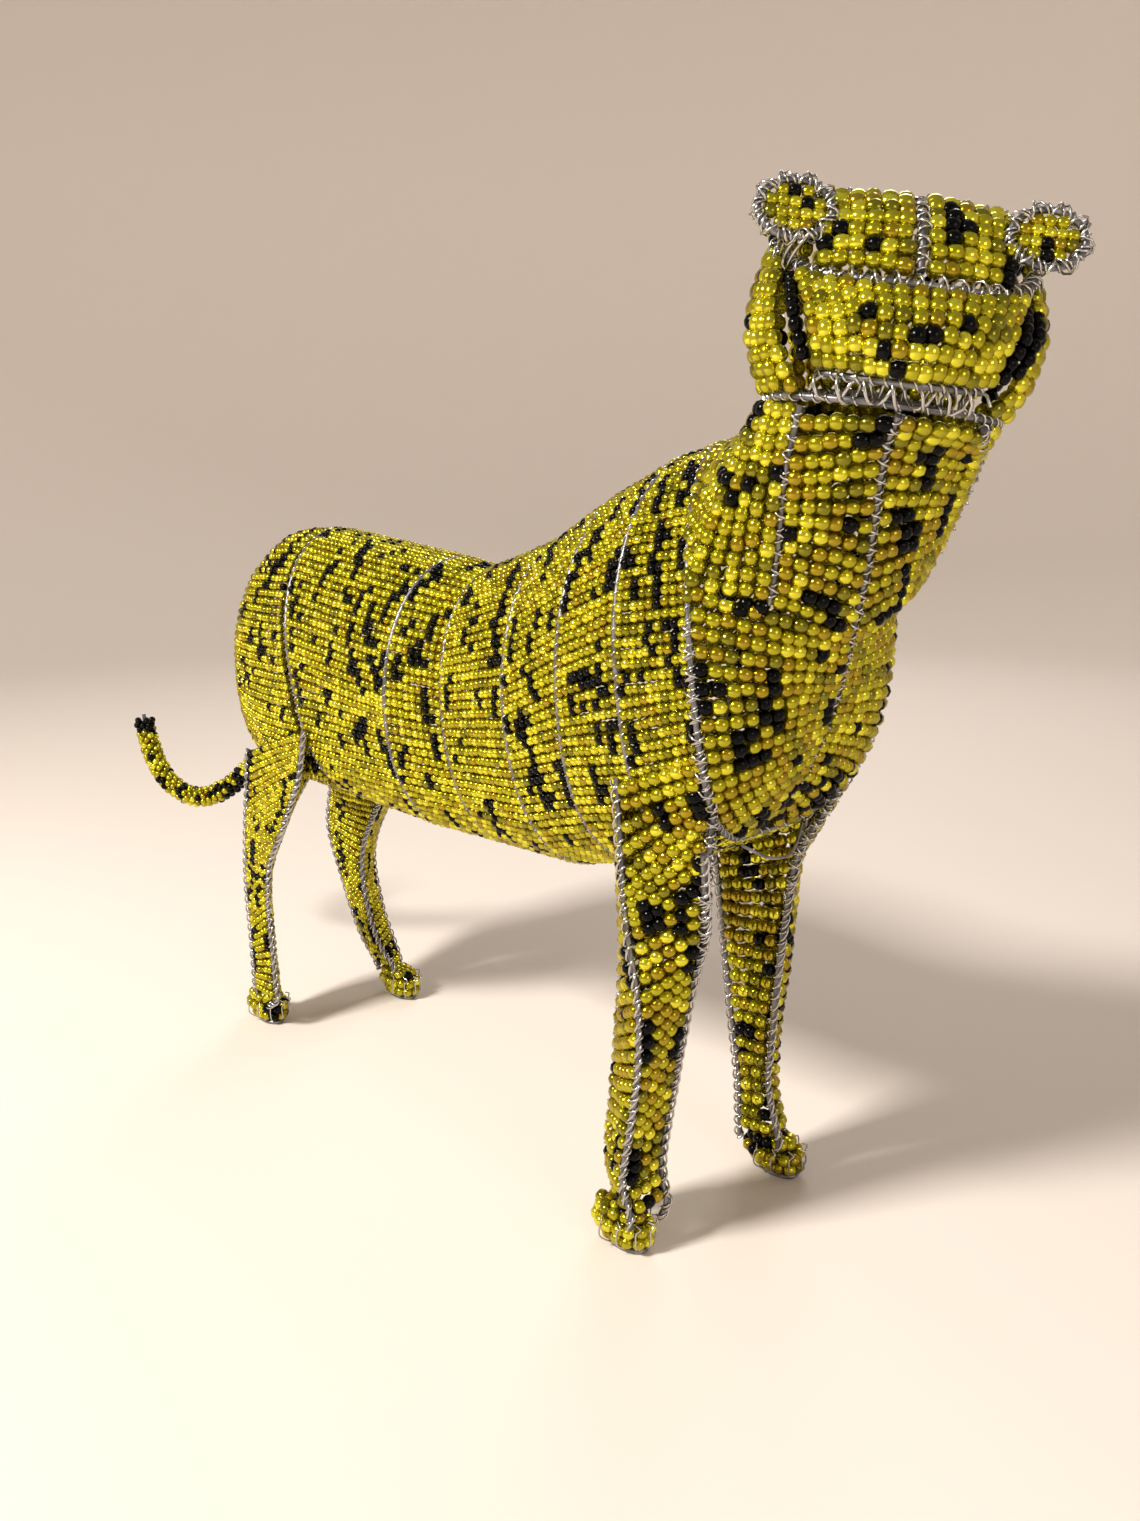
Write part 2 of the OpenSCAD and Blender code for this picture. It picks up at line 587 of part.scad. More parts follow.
placed() {
    hoop_wire(HAUNCH);  // haunch_hoop
    hoop_wire(FLANK);  // flank_hoop
    hoop_wire(WAIST);  // waist_hoop
    hoop_wire(BELLY);  // belly_hoop
    hoop_wire(RIB);  // rib_hoop
    hoop_wire(CHEST);  // chest_hoop
    hoop_wire(SHOULDER);  // shoulder_hoop
    spine_wire();
    belly_wire();
    neck_side_wire(neck_side_right_line);  // neck_side_wire_right
    neck_side_wire(neck_side_left_line);  // neck_side_wire_left
    throat_wire();
    jaw_hoop();
    crown_wire();
    brow_wire();
    mouth_wire();
    face_centre_wire();
    ear_loop(-1);  // ear_loop_right
    ear_loop(1);  // ear_loop_left
    tail_core_wire();
    leg_wires(front_right_leg);  // front_right_leg_wires
    leg_wires(front_left_leg);  // front_left_leg_wires
    leg_wires(rear_right_leg);  // rear_right_leg_wires
    leg_wires(rear_left_leg);  // rear_left_leg_wires
    sole_ring(front_right_paw);  // front_right_sole_ring
    sole_ring(front_left_paw);  // front_left_sole_ring
    sole_ring(rear_right_paw);  // rear_right_sole_ring
    sole_ring(rear_left_paw);  // rear_left_sole_ring
    rump_beadwork();
    hoop_band(HAUNCH, body_bead);  // haunch_beadwork
    hoop_band(FLANK, body_bead);  // flank_beadwork
    hoop_band(WAIST, body_bead);  // waist_beadwork
    hoop_band(BELLY, body_bead);  // belly_beadwork
    hoop_band(RIB, body_bead);  // rib_beadwork
    hoop_band(CHEST, body_bead);  // shoulder_beadwork
    chest_beadwork(-1);  // chest_beadwork_right
    chest_beadwork(1);  // chest_beadwork_left
    throat_beadwork(neck_side_right_line, -1);  // throat_beadwork_right
    throat_beadwork(neck_side_left_line, 1);  // throat_beadwork_left
    neck_beadwork(neck_side_right_line, -1);  // neck_beadwork_right
    neck_beadwork(neck_side_left_line, 1);  // neck_beadwork_left
    forehead_beadwork();
    muzzle_beadwork();
    cheek_beadwork(-1);  // cheek_beadwork_right
    cheek_beadwork(1);  // cheek_beadwork_left
    head_back_beadwork();
    ear_beadwork(-1);  // ear_beadwork_right
    ear_beadwork(1);  // ear_beadwork_left
    tear_stripe(-1);  // tear_stripe_right
    tear_stripe(1);  // tear_stripe_left
    loose_thread_wire();
    leg_beadwork(front_right_leg, head_bead);  // front_right_leg_beadwork
    leg_beadwork(front_left_turned, head_bead);  // front_left_leg_beadwork
    leg_beadwork(rear_right_leg, body_bead);  // rear_right_leg_beadwork
    leg_beadwork(rear_left_turned, body_bead);  // rear_left_leg_beadwork
    paw_beadwork(front_right_paw);  // front_right_paw_beadwork
    paw_beadwork(front_left_paw);  // front_left_paw_beadwork
    paw_beadwork(rear_right_paw);  // rear_right_paw_beadwork
    paw_beadwork(rear_left_paw);  // rear_left_paw_beadwork
    tail_beadwork();
}
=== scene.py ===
"""Looks of a beaded wire big cat: glass beads threaded in rows between bent frame wires.

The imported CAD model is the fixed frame. Its wires give the rails that every row of beads
runs between, so each field of beadwork follows the wires that carry it.
"""

import logging
import math
from collections.abc import Callable
from dataclasses import dataclass, field
from enum import Enum

import bpy
import numpy as np
from mathutils import Matrix, Vector


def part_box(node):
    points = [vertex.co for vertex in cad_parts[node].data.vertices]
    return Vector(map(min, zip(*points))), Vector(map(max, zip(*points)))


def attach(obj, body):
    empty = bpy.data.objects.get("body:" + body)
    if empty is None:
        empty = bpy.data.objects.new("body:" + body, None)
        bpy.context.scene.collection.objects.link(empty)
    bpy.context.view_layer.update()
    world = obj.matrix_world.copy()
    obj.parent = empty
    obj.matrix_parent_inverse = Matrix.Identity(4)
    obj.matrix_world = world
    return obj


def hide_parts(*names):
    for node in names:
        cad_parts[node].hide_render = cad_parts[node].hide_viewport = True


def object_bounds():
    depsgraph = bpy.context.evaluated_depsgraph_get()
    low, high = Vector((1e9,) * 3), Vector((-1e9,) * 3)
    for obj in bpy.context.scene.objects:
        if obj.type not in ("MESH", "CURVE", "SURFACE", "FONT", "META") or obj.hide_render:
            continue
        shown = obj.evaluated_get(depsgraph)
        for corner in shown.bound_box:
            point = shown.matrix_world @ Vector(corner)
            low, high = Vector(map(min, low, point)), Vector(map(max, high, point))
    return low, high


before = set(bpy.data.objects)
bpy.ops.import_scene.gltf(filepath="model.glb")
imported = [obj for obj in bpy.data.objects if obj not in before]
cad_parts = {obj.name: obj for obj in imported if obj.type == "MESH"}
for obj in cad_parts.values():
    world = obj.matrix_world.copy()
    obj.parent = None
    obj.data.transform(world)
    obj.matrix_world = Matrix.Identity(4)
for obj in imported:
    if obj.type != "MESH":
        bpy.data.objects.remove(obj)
CAD_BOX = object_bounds()
LOG = logging.getLogger("beaded_cat")
MM = 0.001
WIRE_D = 1.6 * MM
TURN_STEPS = 8
Z_UP = np.array([0.0, 0.0, 1.0])


class Shade(Enum):
    """The glass colours that the maker picks from. The value is the slot in a bead piece."""

    LEMON = 0
    PALE = 1
    GOLD = 2
    OLIVE = 3
    BLACK = 4
    THREAD = 5


class Lacing(Enum):
    """How the thin wire is wound on a frame wire."""

    NONE = 0
    TURNS = 1
    COILED = 2
    BRAIDED = 3
    OPEN_LOOPS = 4
    LEG_LOOPS = 5


class Body(Enum):
    """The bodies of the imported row."""

    ROOT = "root"


# ---- Finishes ----


def new_material(name: str) -> tuple[bpy.types.Material, bpy.types.Node]:
    """Returns a new material and its main shader."""
    material = bpy.data.materials.new(name)
    material.use_nodes = True
    return material, material.node_tree.nodes["Principled BSDF"]


def set_inputs(node: bpy.types.Node, values: dict[str, object]) -> None:
    """Sets inputs of a shader node by their names."""
    for name, value in values.items():
        node.inputs[name].default_value = value


@dataclass(frozen=True)
class GlassFinish:
    """Glass of a bead. Every value is constant, so that each bead keeps it from any side."""

    name: str
    colour: tuple[float, float, float]
    roughness: float = 0.2
    metal: float = 0.85
    coat: float = 0.45
    coat_roughness: float = 0.03
    specular: float = 0.3
    edge: tuple[float, float, float] = (0.85, 0.74, 0.05)

    def make(self) -> bpy.types.Material:
        """Returns the material of this glass."""
        material, shader = new_material(self.name)
        values = {
            "Base Color": (*self.colour, 1.0),
            "Roughness": self.roughness,
            "Metallic": self.metal,
            "Specular IOR Level": self.specular,
            "Specular Tint": (*self.edge, 1.0),
            "Coat Weight": self.coat,
            "Coat Roughness": self.coat_roughness,
        }
        set_inputs(shader, values)
        return material


@dataclass(frozen=True)
class SteelFinish:
    """Galvanised wire: grey, with cloudy patches of zinc and a fine drawn grain."""

    name: str
    light: tuple[float, float, float]
    dark: tuple[float, float, float]
    roughness: tuple[float, float] = (0.28, 0.5)
    patch: float = 260.0

    def make(self) -> bpy.types.Material:
        """Returns the material of this wire."""
        material, shader = new_material(self.name)
        nodes, links = material.node_tree.nodes, material.node_tree.links
        set_inputs(shader, {"Metallic": 0.9})
        place = nodes.new("ShaderNodeTexCoord")
        cloud = nodes.new("ShaderNodeTexNoise")
        set_inputs(cloud, {"Scale": self.patch, "Detail": 4.0})
        links.new(place.outputs["Object"], cloud.inputs["Vector"])
        zinc = nodes.new("ShaderNodeValToRGB")
        for stop, place_on_ramp, colour in zip(
            zinc.color_ramp.elements, (0.35, 0.65), (self.dark, self.light)
        ):
            stop.position = place_on_ramp
            stop.color = (*colour, 1.0)
        links.new(cloud.outputs["Fac"], zinc.inputs["Fac"])
        links.new(zinc.outputs["Color"], shader.inputs["Base Color"])
        dull = nodes.new("ShaderNodeMapRange")
        set_inputs(dull, {"To Min": self.roughness[0], "To Max": self.roughness[1]})
        links.new(cloud.outputs["Fac"], dull.inputs["Value"])
        links.new(dull.outputs["Result"], shader.inputs["Roughness"])
        return material


@dataclass(frozen=True)
class ThreadFinish:
    """Bright thin threading wire, with a constant colour."""

    name: str
    colour: tuple[float, float, float]
    roughness: float = 0.3

    def make(self) -> bpy.types.Material:
        """Returns the material of this thin wire."""
        material, shader = new_material(self.name)
        values = {
            "Base Color": (*self.colour, 1.0),
            "Metallic": 1.0,
            "Roughness": self.roughness,
        }
        set_inputs(shader, values)
        return material


LEMON_GLASS = GlassFinish("lemon_glass", (0.43, 0.385, 0.006))
PALE_GLASS = GlassFinish("pale_glass", (0.72, 0.66, 0.03), roughness=0.14)
GOLD_GLASS = GlassFinish("gold_glass", (0.36, 0.265, 0.004))
OLIVE_GLASS = GlassFinish("olive_glass", (0.21, 0.19, 0.003))
BLACK_GLASS = GlassFinish(
    "black_glass",
    (0.001, 0.001, 0.001),
    roughness=0.16,
    metal=0.0,
    specular=0.1,
    coat=0.03,
    edge=(1.0, 1.0, 1.0),
)
FRAME_STEEL = SteelFinish("galvanised_wire", (0.30, 0.29, 0.29), (0.12, 0.12, 0.13))
THREAD_STEEL = ThreadFinish("threading_wire", (0.52, 0.50, 0.48), roughness=0.22)
# How often each shade of glass is picked: lemon, pale, gold, olive. The body mix is the beads' own
# spread of tones.
BODY_MIX = (0.5, 0.26, 0.12, 0.12)
# The front mix has more gold and fewer pale beads. This is painted shade, with a painted warm
# reflection from the floor, on the chest, the throat and the front legs.
SHADED_FRONT_MIX = (0.42, 0.14, 0.3, 0.14)
# Chains of black beads: how often each length comes, how far a chain drifts along the rows
# from one row to the next, and how often a black bead gets a second one beside it.
CHAIN_LENGTHS = (1, 2, 3, 4)
CHAIN_ODDS = (0.4, 0.28, 0.2, 0.12)
CHAIN_DRIFT = 0.03
PAIR_ODDS = 0.1


# ---- Small helpers on points ----


def unit(v: np.ndarray) -> np.ndarray:
    """Returns v, or each row of v, with a length of one."""
    return v / np.maximum(np.linalg.norm(v, axis=-1, keepdims=True), 1e-12)


def run_lengths(points: np.ndarray) -> np.ndarray:
    """Returns the distance along the points up to each of them."""
    steps = np.linalg.norm(np.diff(points, axis=0), axis=1)
    return np.concatenate([[0.0], np.cumsum(steps)])


def at_share(points: np.ndarray, share: np.ndarray | float) -> np.ndarray:
    """Returns the points at the given shares of the index range, 0 to 1."""
    place = np.clip(np.atleast_1d(share), 0, 1) * (len(points) - 1)
    low = np.minimum(place.astype(int), len(points) - 2)
    part = (place - low)[:, None]
    return points[low] * (1 - part) + points[low + 1] * part


def smooth_line(points: np.ndarray, steps: int, closed: bool = False) -> np.ndarray:
    """Rounds a line of points off into a finer one that still passes through them.

    Args:
        points: the centre line as the CAD gives it.
        steps: how many new points stand for each stretch.
        closed: whether the last point meets the first.

    Returns:
        The finer line. A closed one doesn't repeat its first point.
    """
    n = len(points)
    if closed:
        padded = np.vstack([points[-1], points, points[0], points[1]])
        spans = n
    else:
        padded = np.vstack([2 * points[0] - points[1], points, 2 * points[-1] - points[-2]])
        spans = n - 1
    made = []
    for i in range(spans):
        a, b, c, d = padded[i], padded[i + 1], padded[i + 2], padded[i + 3]
        for u in np.arange(steps) / steps:
            made.append(
                0.5
                * (
                    2 * b
                    + (c - a) * u
                    + (2 * a - 5 * b + 4 * c - d) * u * u
                    + (3 * b - a - 3 * c + d) * u**3
                )
            )
    if not closed:
        made.append(points[-1])
    return np.array(made)


def even_line(points: np.ndarray, gap: float, closed: bool = False) -> np.ndarray:
    """Returns points spread evenly along a line, about gap apart."""
    line = np.vstack([points, points[:1]]) if closed else points
    far = run_lengths(line)
    count = max(2, round(far[-1] / gap))
    where = np.linspace(0, far[-1], count + 1)
    made = np.column_stack([np.interp(where, far, line[:, k]) for k in range(3)])
    return made[:-1] if closed else made


def side_frames(points: np.ndarray, closed: bool = False) -> tuple[np.ndarray, np.ndarray]:
    """Returns two unit vectors square to the line at each point, without any twist."""
    if closed:
        tangent = unit(np.roll(points, -1, 0) - np.roll(points, 1, 0))
    else:
        tangent = unit(np.gradient(points, axis=0))
    start = Z_UP if abs(tangent[0][2]) < 0.8 else np.array([0.0, 1.0, 0.0])
    first = unit(start - tangent[0] * (start @ tangent[0]))
    sides = [first]
    for t in tangent[1:]:
        v = sides[-1] - t * (sides[-1] @ t)
        sides.append(unit(v))
    a = np.array(sides)
    return a, np.cross(tangent, a)


# ---- Reading the wires of the frame ----


@dataclass
class WireReader:
    """Finds the centre lines of the wires in a CAD node from the rings of its tube."""

    thickness: float
    ring_size: int = 8
    reach: float = 0.55

    def rings(self, node: str) -> tuple[np.ndarray, dict[int, set[int]]]:
        """Groups a node's corners into the rings of its tube.

        Args:
            node: the CAD node's name.

        Returns:
            The middle of each ring, and which rings each one touches.
        """
        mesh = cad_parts[node].data
        corners = np.array([v.co for v in mesh.vertices], float)
        _, first, same = np.unique(
            np.round(corners, 6), axis=0, return_index=True, return_inverse=True
        )
        same = same.reshape(-1)
        points = corners[first]
        parent = list(range(len(points)))

        def find(i: int) -> int:
            """Returns the name of the group that corner i is in."""
            while parent[i] != i:
                parent[i] = parent[parent[i]]
                i = parent[i]
            return i

        ends = [sorted(int(same[k]) for k in e.vertices) for e in mesh.edges]
        pairs = {tuple(pair) for pair in ends}
        for a, b in pairs:
            if a != b and np.linalg.norm(points[a] - points[b]) < self.reach * self.thickness:
                parent[find(a)] = find(b)
        names = sorted({find(i) for i in range(len(points))})
        number = {name: k for k, name in enumerate(names)}
        group = np.array([number[find(i)] for i in range(len(points))])
        middles = np.array([points[group == k].mean(0) for k in range(len(names))])
        touch: dict[int, set[int]] = {k: set() for k in range(len(names))}
        for a, b in pairs:
            if group[a] != group[b]:
                touch[int(group[a])].add(int(group[b]))
                touch[int(group[b])].add(int(group[a]))
        return middles, touch

    def lines(self, node: str) -> list[np.ndarray]:
        """Walks along each wire of a node.

        Args:
            node: the CAD node's name.

        Returns:
            One centre line for each wire in the node.
        """
        middles, touch = self.rings(node)
        left, found = set(touch), []
        while left:
            ends = [k for k in left if len(touch[k]) == 1]
            here = min(ends) if ends else min(left)
            walk = [here]
            left.discard(here)
            while True:
                ahead = [k for k in sorted(touch[here]) if k in left]
                if not ahead:
                    break
                here = ahead[0]
                left.discard(here)
                walk.append(here)
            found.append(middles[walk])
        return found

    def line(self, node: str, towards: np.ndarray) -> np.ndarray:
        """Returns a node's single open wire, laid so that it runs towards a direction."""
        points = self.lines(node)[0]
        return points if (points[-1] - points[0]) @ towards > 0 else points[::-1]

    def loop(self, node: str, start: np.ndarray, turn: np.ndarray) -> np.ndarray:
        """Returns a closed wire that starts furthest along start and goes off along turn."""
        points = self.lines(node)[0]
        points = np.roll(points, -int(np.argmax(points @ start)), axis=0)
        if (points[2] - points[-2]) @ turn < 0:
            points = np.roll(points[::-1], 1, axis=0)
        return points


READER = WireReader(thickness=WIRE_D)


def loop_at(loop: np.ndarray, angle: np.ndarray | float) -> np.ndarray:
    """Returns the points at the given angles, in degrees, round a closed wire."""
    return at_share(np.vstack([loop, loop[:1]]), (np.atleast_1d(angle) % 360) / 360)


# ---- Modelling tools ----


def deselect_all() -> None:
    """Leaves nothing selected, in object mode."""
    if bpy.context.object is not None and bpy.context.object.mode != "OBJECT":
        bpy.ops.object.mode_set(mode="OBJECT")
    bpy.ops.object.select_all(action="DESELECT")


@dataclass
class Bead:
    """One bead, one unit across, with its hole along Z. It is modelled once and copied."""

    length: float = 0.88
    sides: int = 8
    waist: float = 1.1

    def model(self) -> tuple[np.ndarray, list[list[int]]]:
        """Shapes the bead from a sphere whose ends are cut off square.

        Returns:
            Its corners and its faces.
        """
        deselect_all()
        bpy.ops.mesh.primitive_uv_sphere_add(segments=self.sides, ring_count=6, radius=0.5)
        bead = bpy.context.object
        bpy.ops.object.mode_set(mode="EDIT")
        bpy.ops.mesh.select_all(action="SELECT")
        bpy.ops.transform.resize(value=(1.0, 1.0, self.waist))
        for side in (1, -1):
            bpy.ops.mesh.select_all(action="SELECT")
            bpy.ops.mesh.bisect(
                plane_co=(0, 0, side * self.length / 2),
                plane_no=(0, 0, side),
                use_fill=True,
                clear_outer=True,
            )
        bpy.ops.mesh.select_all(action="SELECT")
        bpy.ops.mesh.normals_make_consistent(inside=False)
        bpy.ops.object.mode_set(mode="OBJECT")
        corners = np.array([v.co for v in bead.data.vertices], float)
        faces = [list(p.vertices) for p in bead.data.polygons]
        bpy.data.objects.remove(bead)
        return corners, faces


@dataclass
class Strung:
    """Beads that have been given a place: the middle, the hole's direction and the shade."""

    middles: list[np.ndarray] = field(default_factory=list)
    holes: list[np.ndarray] = field(default_factory=list)
    sizes: list[float] = field(default_factory=list)
    shades: list[Shade] = field(default_factory=list)
    threads: list[np.ndarray] = field(default_factory=list)

    def add(self, middle: np.ndarray, hole: np.ndarray, size: float, shade: Shade) -> None:
        """Adds one bead."""
        self.middles.append(middle)
        self.holes.append(hole)
        self.sizes.append(size)
        self.shades.append(shade)

    def join(self, other: "Strung") -> None:
        """Takes in the beads and wires of another set."""
        self.middles += other.middles
        self.holes += other.holes
        self.sizes += other.sizes
        self.shades += other.shades
        self.threads += other.threads


@dataclass
class Beader:
    """Puts copies of the one bead on their places and makes a piece of them."""

    dice: np.random.Generator
    corners: np.ndarray
    faces: list[list[int]]
    slots: list[bpy.types.Material]
    thread: float = 0.35 * MM
    loose: float = 0.05
    tilt: float = 0.06
    lift: float = 0.035

    def shade(self, mix: tuple[float, ...]) -> Shade:
        """Picks the shade of a bead that isn't black."""
        return self.dice.choice([Shade.LEMON, Shade.PALE, Shade.GOLD, Shade.OLIVE], p=mix)

    def piece(self, name: str, strung: Strung, node: str) -> bpy.types.Object:
        """Makes one piece of beadwork.

        Args:
            name: the piece's name.
            strung: the beads and their threading wires.
            node: the CAD node that the piece stands for.

        Returns:
            The finished piece.
        """
        count = len(strung.middles)
        sizes = np.array(strung.sizes)[:, None, None]
        hole = unit(np.array(strung.holes) + self.dice.normal(0, self.tilt, (count, 3)))
        other = unit(np.cross(hole, self.dice.normal(0, 1, (count, 3))))
        third = np.cross(hole, other)
        stretch = 1 + self.dice.uniform(-self.loose, self.loose, (count, 3, 1))
        axes = np.stack([other, third, hole], axis=1) * stretch
        nudge = self.dice.normal(0, self.lift, (count, 3)) * np.array(strung.sizes)[:, None]
        corners = np.einsum("kc,bcx->bkx", self.corners, axes) * sizes
        corners += (np.array(strung.middles) + nudge)[:, None, :]
        points = corners.reshape(-1, 3)
        sizes_of_faces = [len(f) for f in self.faces]
        one = np.array([k for f in self.faces for k in f])
        loops = (one[None, :] + np.arange(count)[:, None] * len(self.corners)).ravel()
        totals = np.tile(sizes_of_faces, count)
        slots = np.repeat([s.value for s in strung.shades], len(self.faces))
        wire_points, wire_loops = self.wires(strung.threads, len(points))
        points = np.vstack([points, wire_points])
        loops = np.concatenate([loops, wire_loops])
        wire_faces = len(wire_loops) // 4
        totals = np.concatenate([totals, np.full(wire_faces, 4)])
        slots = np.concatenate([slots, np.full(wire_faces, Shade.THREAD.value)])
        mesh = bpy.data.meshes.new(name)
        mesh.vertices.add(len(points))
        mesh.vertices.foreach_set("co", points.astype(np.float32).ravel())
        mesh.loops.add(len(loops))
        mesh.loops.foreach_set("vertex_index", loops.astype(np.int32))
        mesh.polygons.add(len(totals))
        starts = np.concatenate([[0], np.cumsum(totals)[:-1]])
        mesh.polygons.foreach_set("loop_start", starts.astype(np.int32))
        mesh.polygons.foreach_set("material_index", slots.astype(np.int32))
        mesh.polygons.foreach_set("use_smooth", np.ones(len(totals), bool))
        for material in self.slots:
            mesh.materials.append(material)
        mesh.update(calc_edges=True)
        mesh.validate()
        made = bpy.data.objects.new(name, mesh)
        bpy.context.scene.collection.objects.link(made)
        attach(made, Body.ROOT.value)
        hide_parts(node)
        LOG.info("%s: %d beads, %d of them black", name, count, strung.shades.count(Shade.BLACK))
        return made

    def wires(self, threads: list[np.ndarray], start: int) -> tuple[np.ndarray, np.ndarray]:
        """Makes a thin square tube, closed at both ends, along each threading wire.

        Args:
            threads: the line of each wire.
            start: how many corners the piece has before them.

        Returns:
            The corners, and the corners of each face in turn, four to a face.
        """
        points, loops = [np.zeros((0, 3))], []
        for line in threads:
            a, b = side_frames(line)
            r = self.thread / 2
            ring = np.stack([line + a * r, line + b * r, line - a * r, line - b * r], axis=1)
            n = len(line)
            points.append(ring.reshape(-1, 3))
            for i in range(n - 1):
                for k in range(4):
                    m = (k + 1) % 4
                    loops += [start + i * 4 + k, start + i * 4 + m]
                    loops += [start + i * 4 + 4 + m, start + i * 4 + 4 + k]
            loops += [start + 3, start + 2, start + 1, start]
            end = start + (n - 1) * 4
            loops += [end, end + 1, end + 2, end + 3]
            start += n * 4
        return np.vstack(points), np.array(loops, int)


@dataclass
class WireBender:
    """Bends round wire along lines, as curves that are then made meshes."""

    frame_steel: bpy.types.Material
    thread_steel: bpy.types.Material

    def bend(
        self,
        name: str,
        lines: list[np.ndarray],
        thickness: float,
        closed: bool,
        material: bpy.types.Material,
        sides: int = 2,
    ) -> bpy.types.Object:
        """Makes one piece of round wire.

        Args:
            name: the piece's name.
            lines: the centre line of each run of wire in it.
            thickness: the wire's diameter.
            closed: whether each run meets itself.
            material: its finish.
            sides: how finely the wire is rounded.

        Returns:
            The finished piece.
        """
        curve = bpy.data.curves.new(name, "CURVE")
        curve.dimensions = "3D"
        curve.bevel_depth = thickness / 2
        curve.bevel_resolution = sides
        curve.use_fill_caps = not closed
        for points in lines:
            spline = curve.splines.new("POLY")
            spline.points.add(len(points) - 1)
            flat = np.column_stack([points, np.ones(len(points))])
            spline.points.foreach_set("co", flat.astype(np.float32).ravel())
            spline.use_cyclic_u = closed
            spline.use_smooth = True
        made = bpy.data.objects.new(name, curve)
        bpy.context.scene.collection.objects.link(made)
        deselect_all()
        made.select_set(True)
        bpy.context.view_layer.objects.active = made
        bpy.ops.object.convert(target="MESH")
        made.data.materials.clear()
        made.data.materials.append(material)
        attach(made, Body.ROOT.value)
        return made


@dataclass
class FrameWire:
    """A frame wire with the thin wire that laces the beadwork to it."""

    node: str
    lines: list[np.ndarray]
    closed: bool = False
    lacing: Lacing = Lacing.TURNS
    thickness: float = WIRE_D
    lace: float = 0.5 * MM
    finer: int = 4
    seed: int = 1
    loop_gap: float = 4.6 * MM
    loop_reach: float = 1.1 * MM

    def helix(
        self, line: np.ndarray, pitch: float, reach: float, phase: float, way: int = 1
    ) -> np.ndarray:
        """Returns a helix round a line.

        Args:
            line: the wire's centre line.
            pitch: the way along for one turn.
            reach: the helix's radius.
            phase: the angle that it starts at, in radians.
            way: 1 for a right-hand helix, -1 for a left-hand one.
        """
        fine = even_line(line, pitch / TURN_STEPS, self.closed)
        a, b = side_frames(fine, self.closed)
        angle = phase + way * 2 * math.pi * np.arange(len(fine)) / TURN_STEPS
        dice = np.random.default_rng(self.seed)
        wobble = 1 + 0.08 * np.sin(np.arange(len(fine)) * 0.37 + dice.uniform(0, 6))
        ring = a * np.cos(angle)[:, None] + b * np.sin(angle)[:, None]
        return fine + ring * (reach * wobble)[:, None]

    def loops(
        self, line: np.ndarray, gap: float, reach: float, away: Callable | None
    ) -> np.ndarray:
        """Returns the line of small loops of thin wire that stand off a frame wire.

        Args:
            line: the wire's centre line.
            gap: the way from one loop to the next.
            reach: how far a loop stands off.
            away: gives the direction that the loops point in, from the points.
        """
        fine = even_line(line, gap / TURN_STEPS, self.closed)
        a, b = side_frames(fine, self.closed)
        out = away(fine) if away else b
        tangent = np.cross(a, b)
        out = unit(out - tangent * np.sum(out * tangent, axis=1)[:, None])
        other = np.cross(tangent, out)
        w = 2 * math.pi * np.arange(len(fine)) / TURN_STEPS
        centre = fine + out * (reach * 0.55)
        wave = centre + out * (reach * 0.9 * np.cos(w))[:, None]
        across = other * (reach * 0.75 * np.sin(w))[:, None]
        wave += across + tangent * (gap * 0.3 * np.sin(w))[:, None]
        return wave

    def laces(self, away: Callable | None) -> list[np.ndarray]:
        """Returns the lines of the thin wire wound on this frame wire."""
        r = (self.thickness + self.lace) / 2 + 0.05 * MM
        made: list[np.ndarray] = []
        for line in self.lines:
            smooth = smooth_line(line, self.finer, self.closed)
            if self.lacing is Lacing.TURNS:
                made.append(self.helix(smooth, 3.0 * MM, r - 0.1 * MM, 0.4))
            elif self.lacing is Lacing.COILED:
                made.append(self.helix(smooth, 2.6 * MM, r, 0.0))
                made.append(self.helix(smooth, 4.3 * MM, r + 0.5 * MM, 2.0, -1))
            elif self.lacing is Lacing.BRAIDED:
                made.append(self.helix(smooth, 5.2 * MM, r + 0.55 * MM, 0.0))
                made.append(self.helix(smooth, 5.2 * MM, r + 0.75 * MM, 1.5, -1))
                made.append(self.helix(smooth, 2.6 * MM, r, 0.7))
            elif self.lacing is Lacing.OPEN_LOOPS:
                made.append(self.helix(smooth, self.loop_gap, r + self.loop_reach, 0.0))
                made.append(self.helix(smooth, 2.3 * MM, r + 0.1 * MM, 1.0, -1))
            elif self.lacing is Lacing.LEG_LOOPS:
                made.append(self.helix(smooth, 3.6 * MM, r, 0.0))
                made.append(self.loops(smooth, 3.9 * MM, 1.15 * MM, away))
        return made

    def build(self, bender: WireBender, away: Callable | None = None) -> None:
        """Makes the frame wire and its lacing.

        Args:
            bender: makes the round wire.
            away: gives the direction that open loops point in, from the points.
        """
        smooth = [smooth_line(line, self.finer, self.closed) for line in self.lines]
        wire = bender.bend(
            self.node + "_bent", smooth, self.thickness, self.closed, bender.frame_steel, 3
        )
        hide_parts(self.node)
        laces = self.laces(away)
        if laces:
            bender.bend(self.node + "_lacing", laces, self.lace, False, bender.thread_steel, 1)
        LOG.info("%s: %d runs of frame wire, %d of lacing", self.node, len(smooth), len(laces))


Rail = Callable[[float], np.ndarray]
Bow = Callable[[float], np.ndarray]


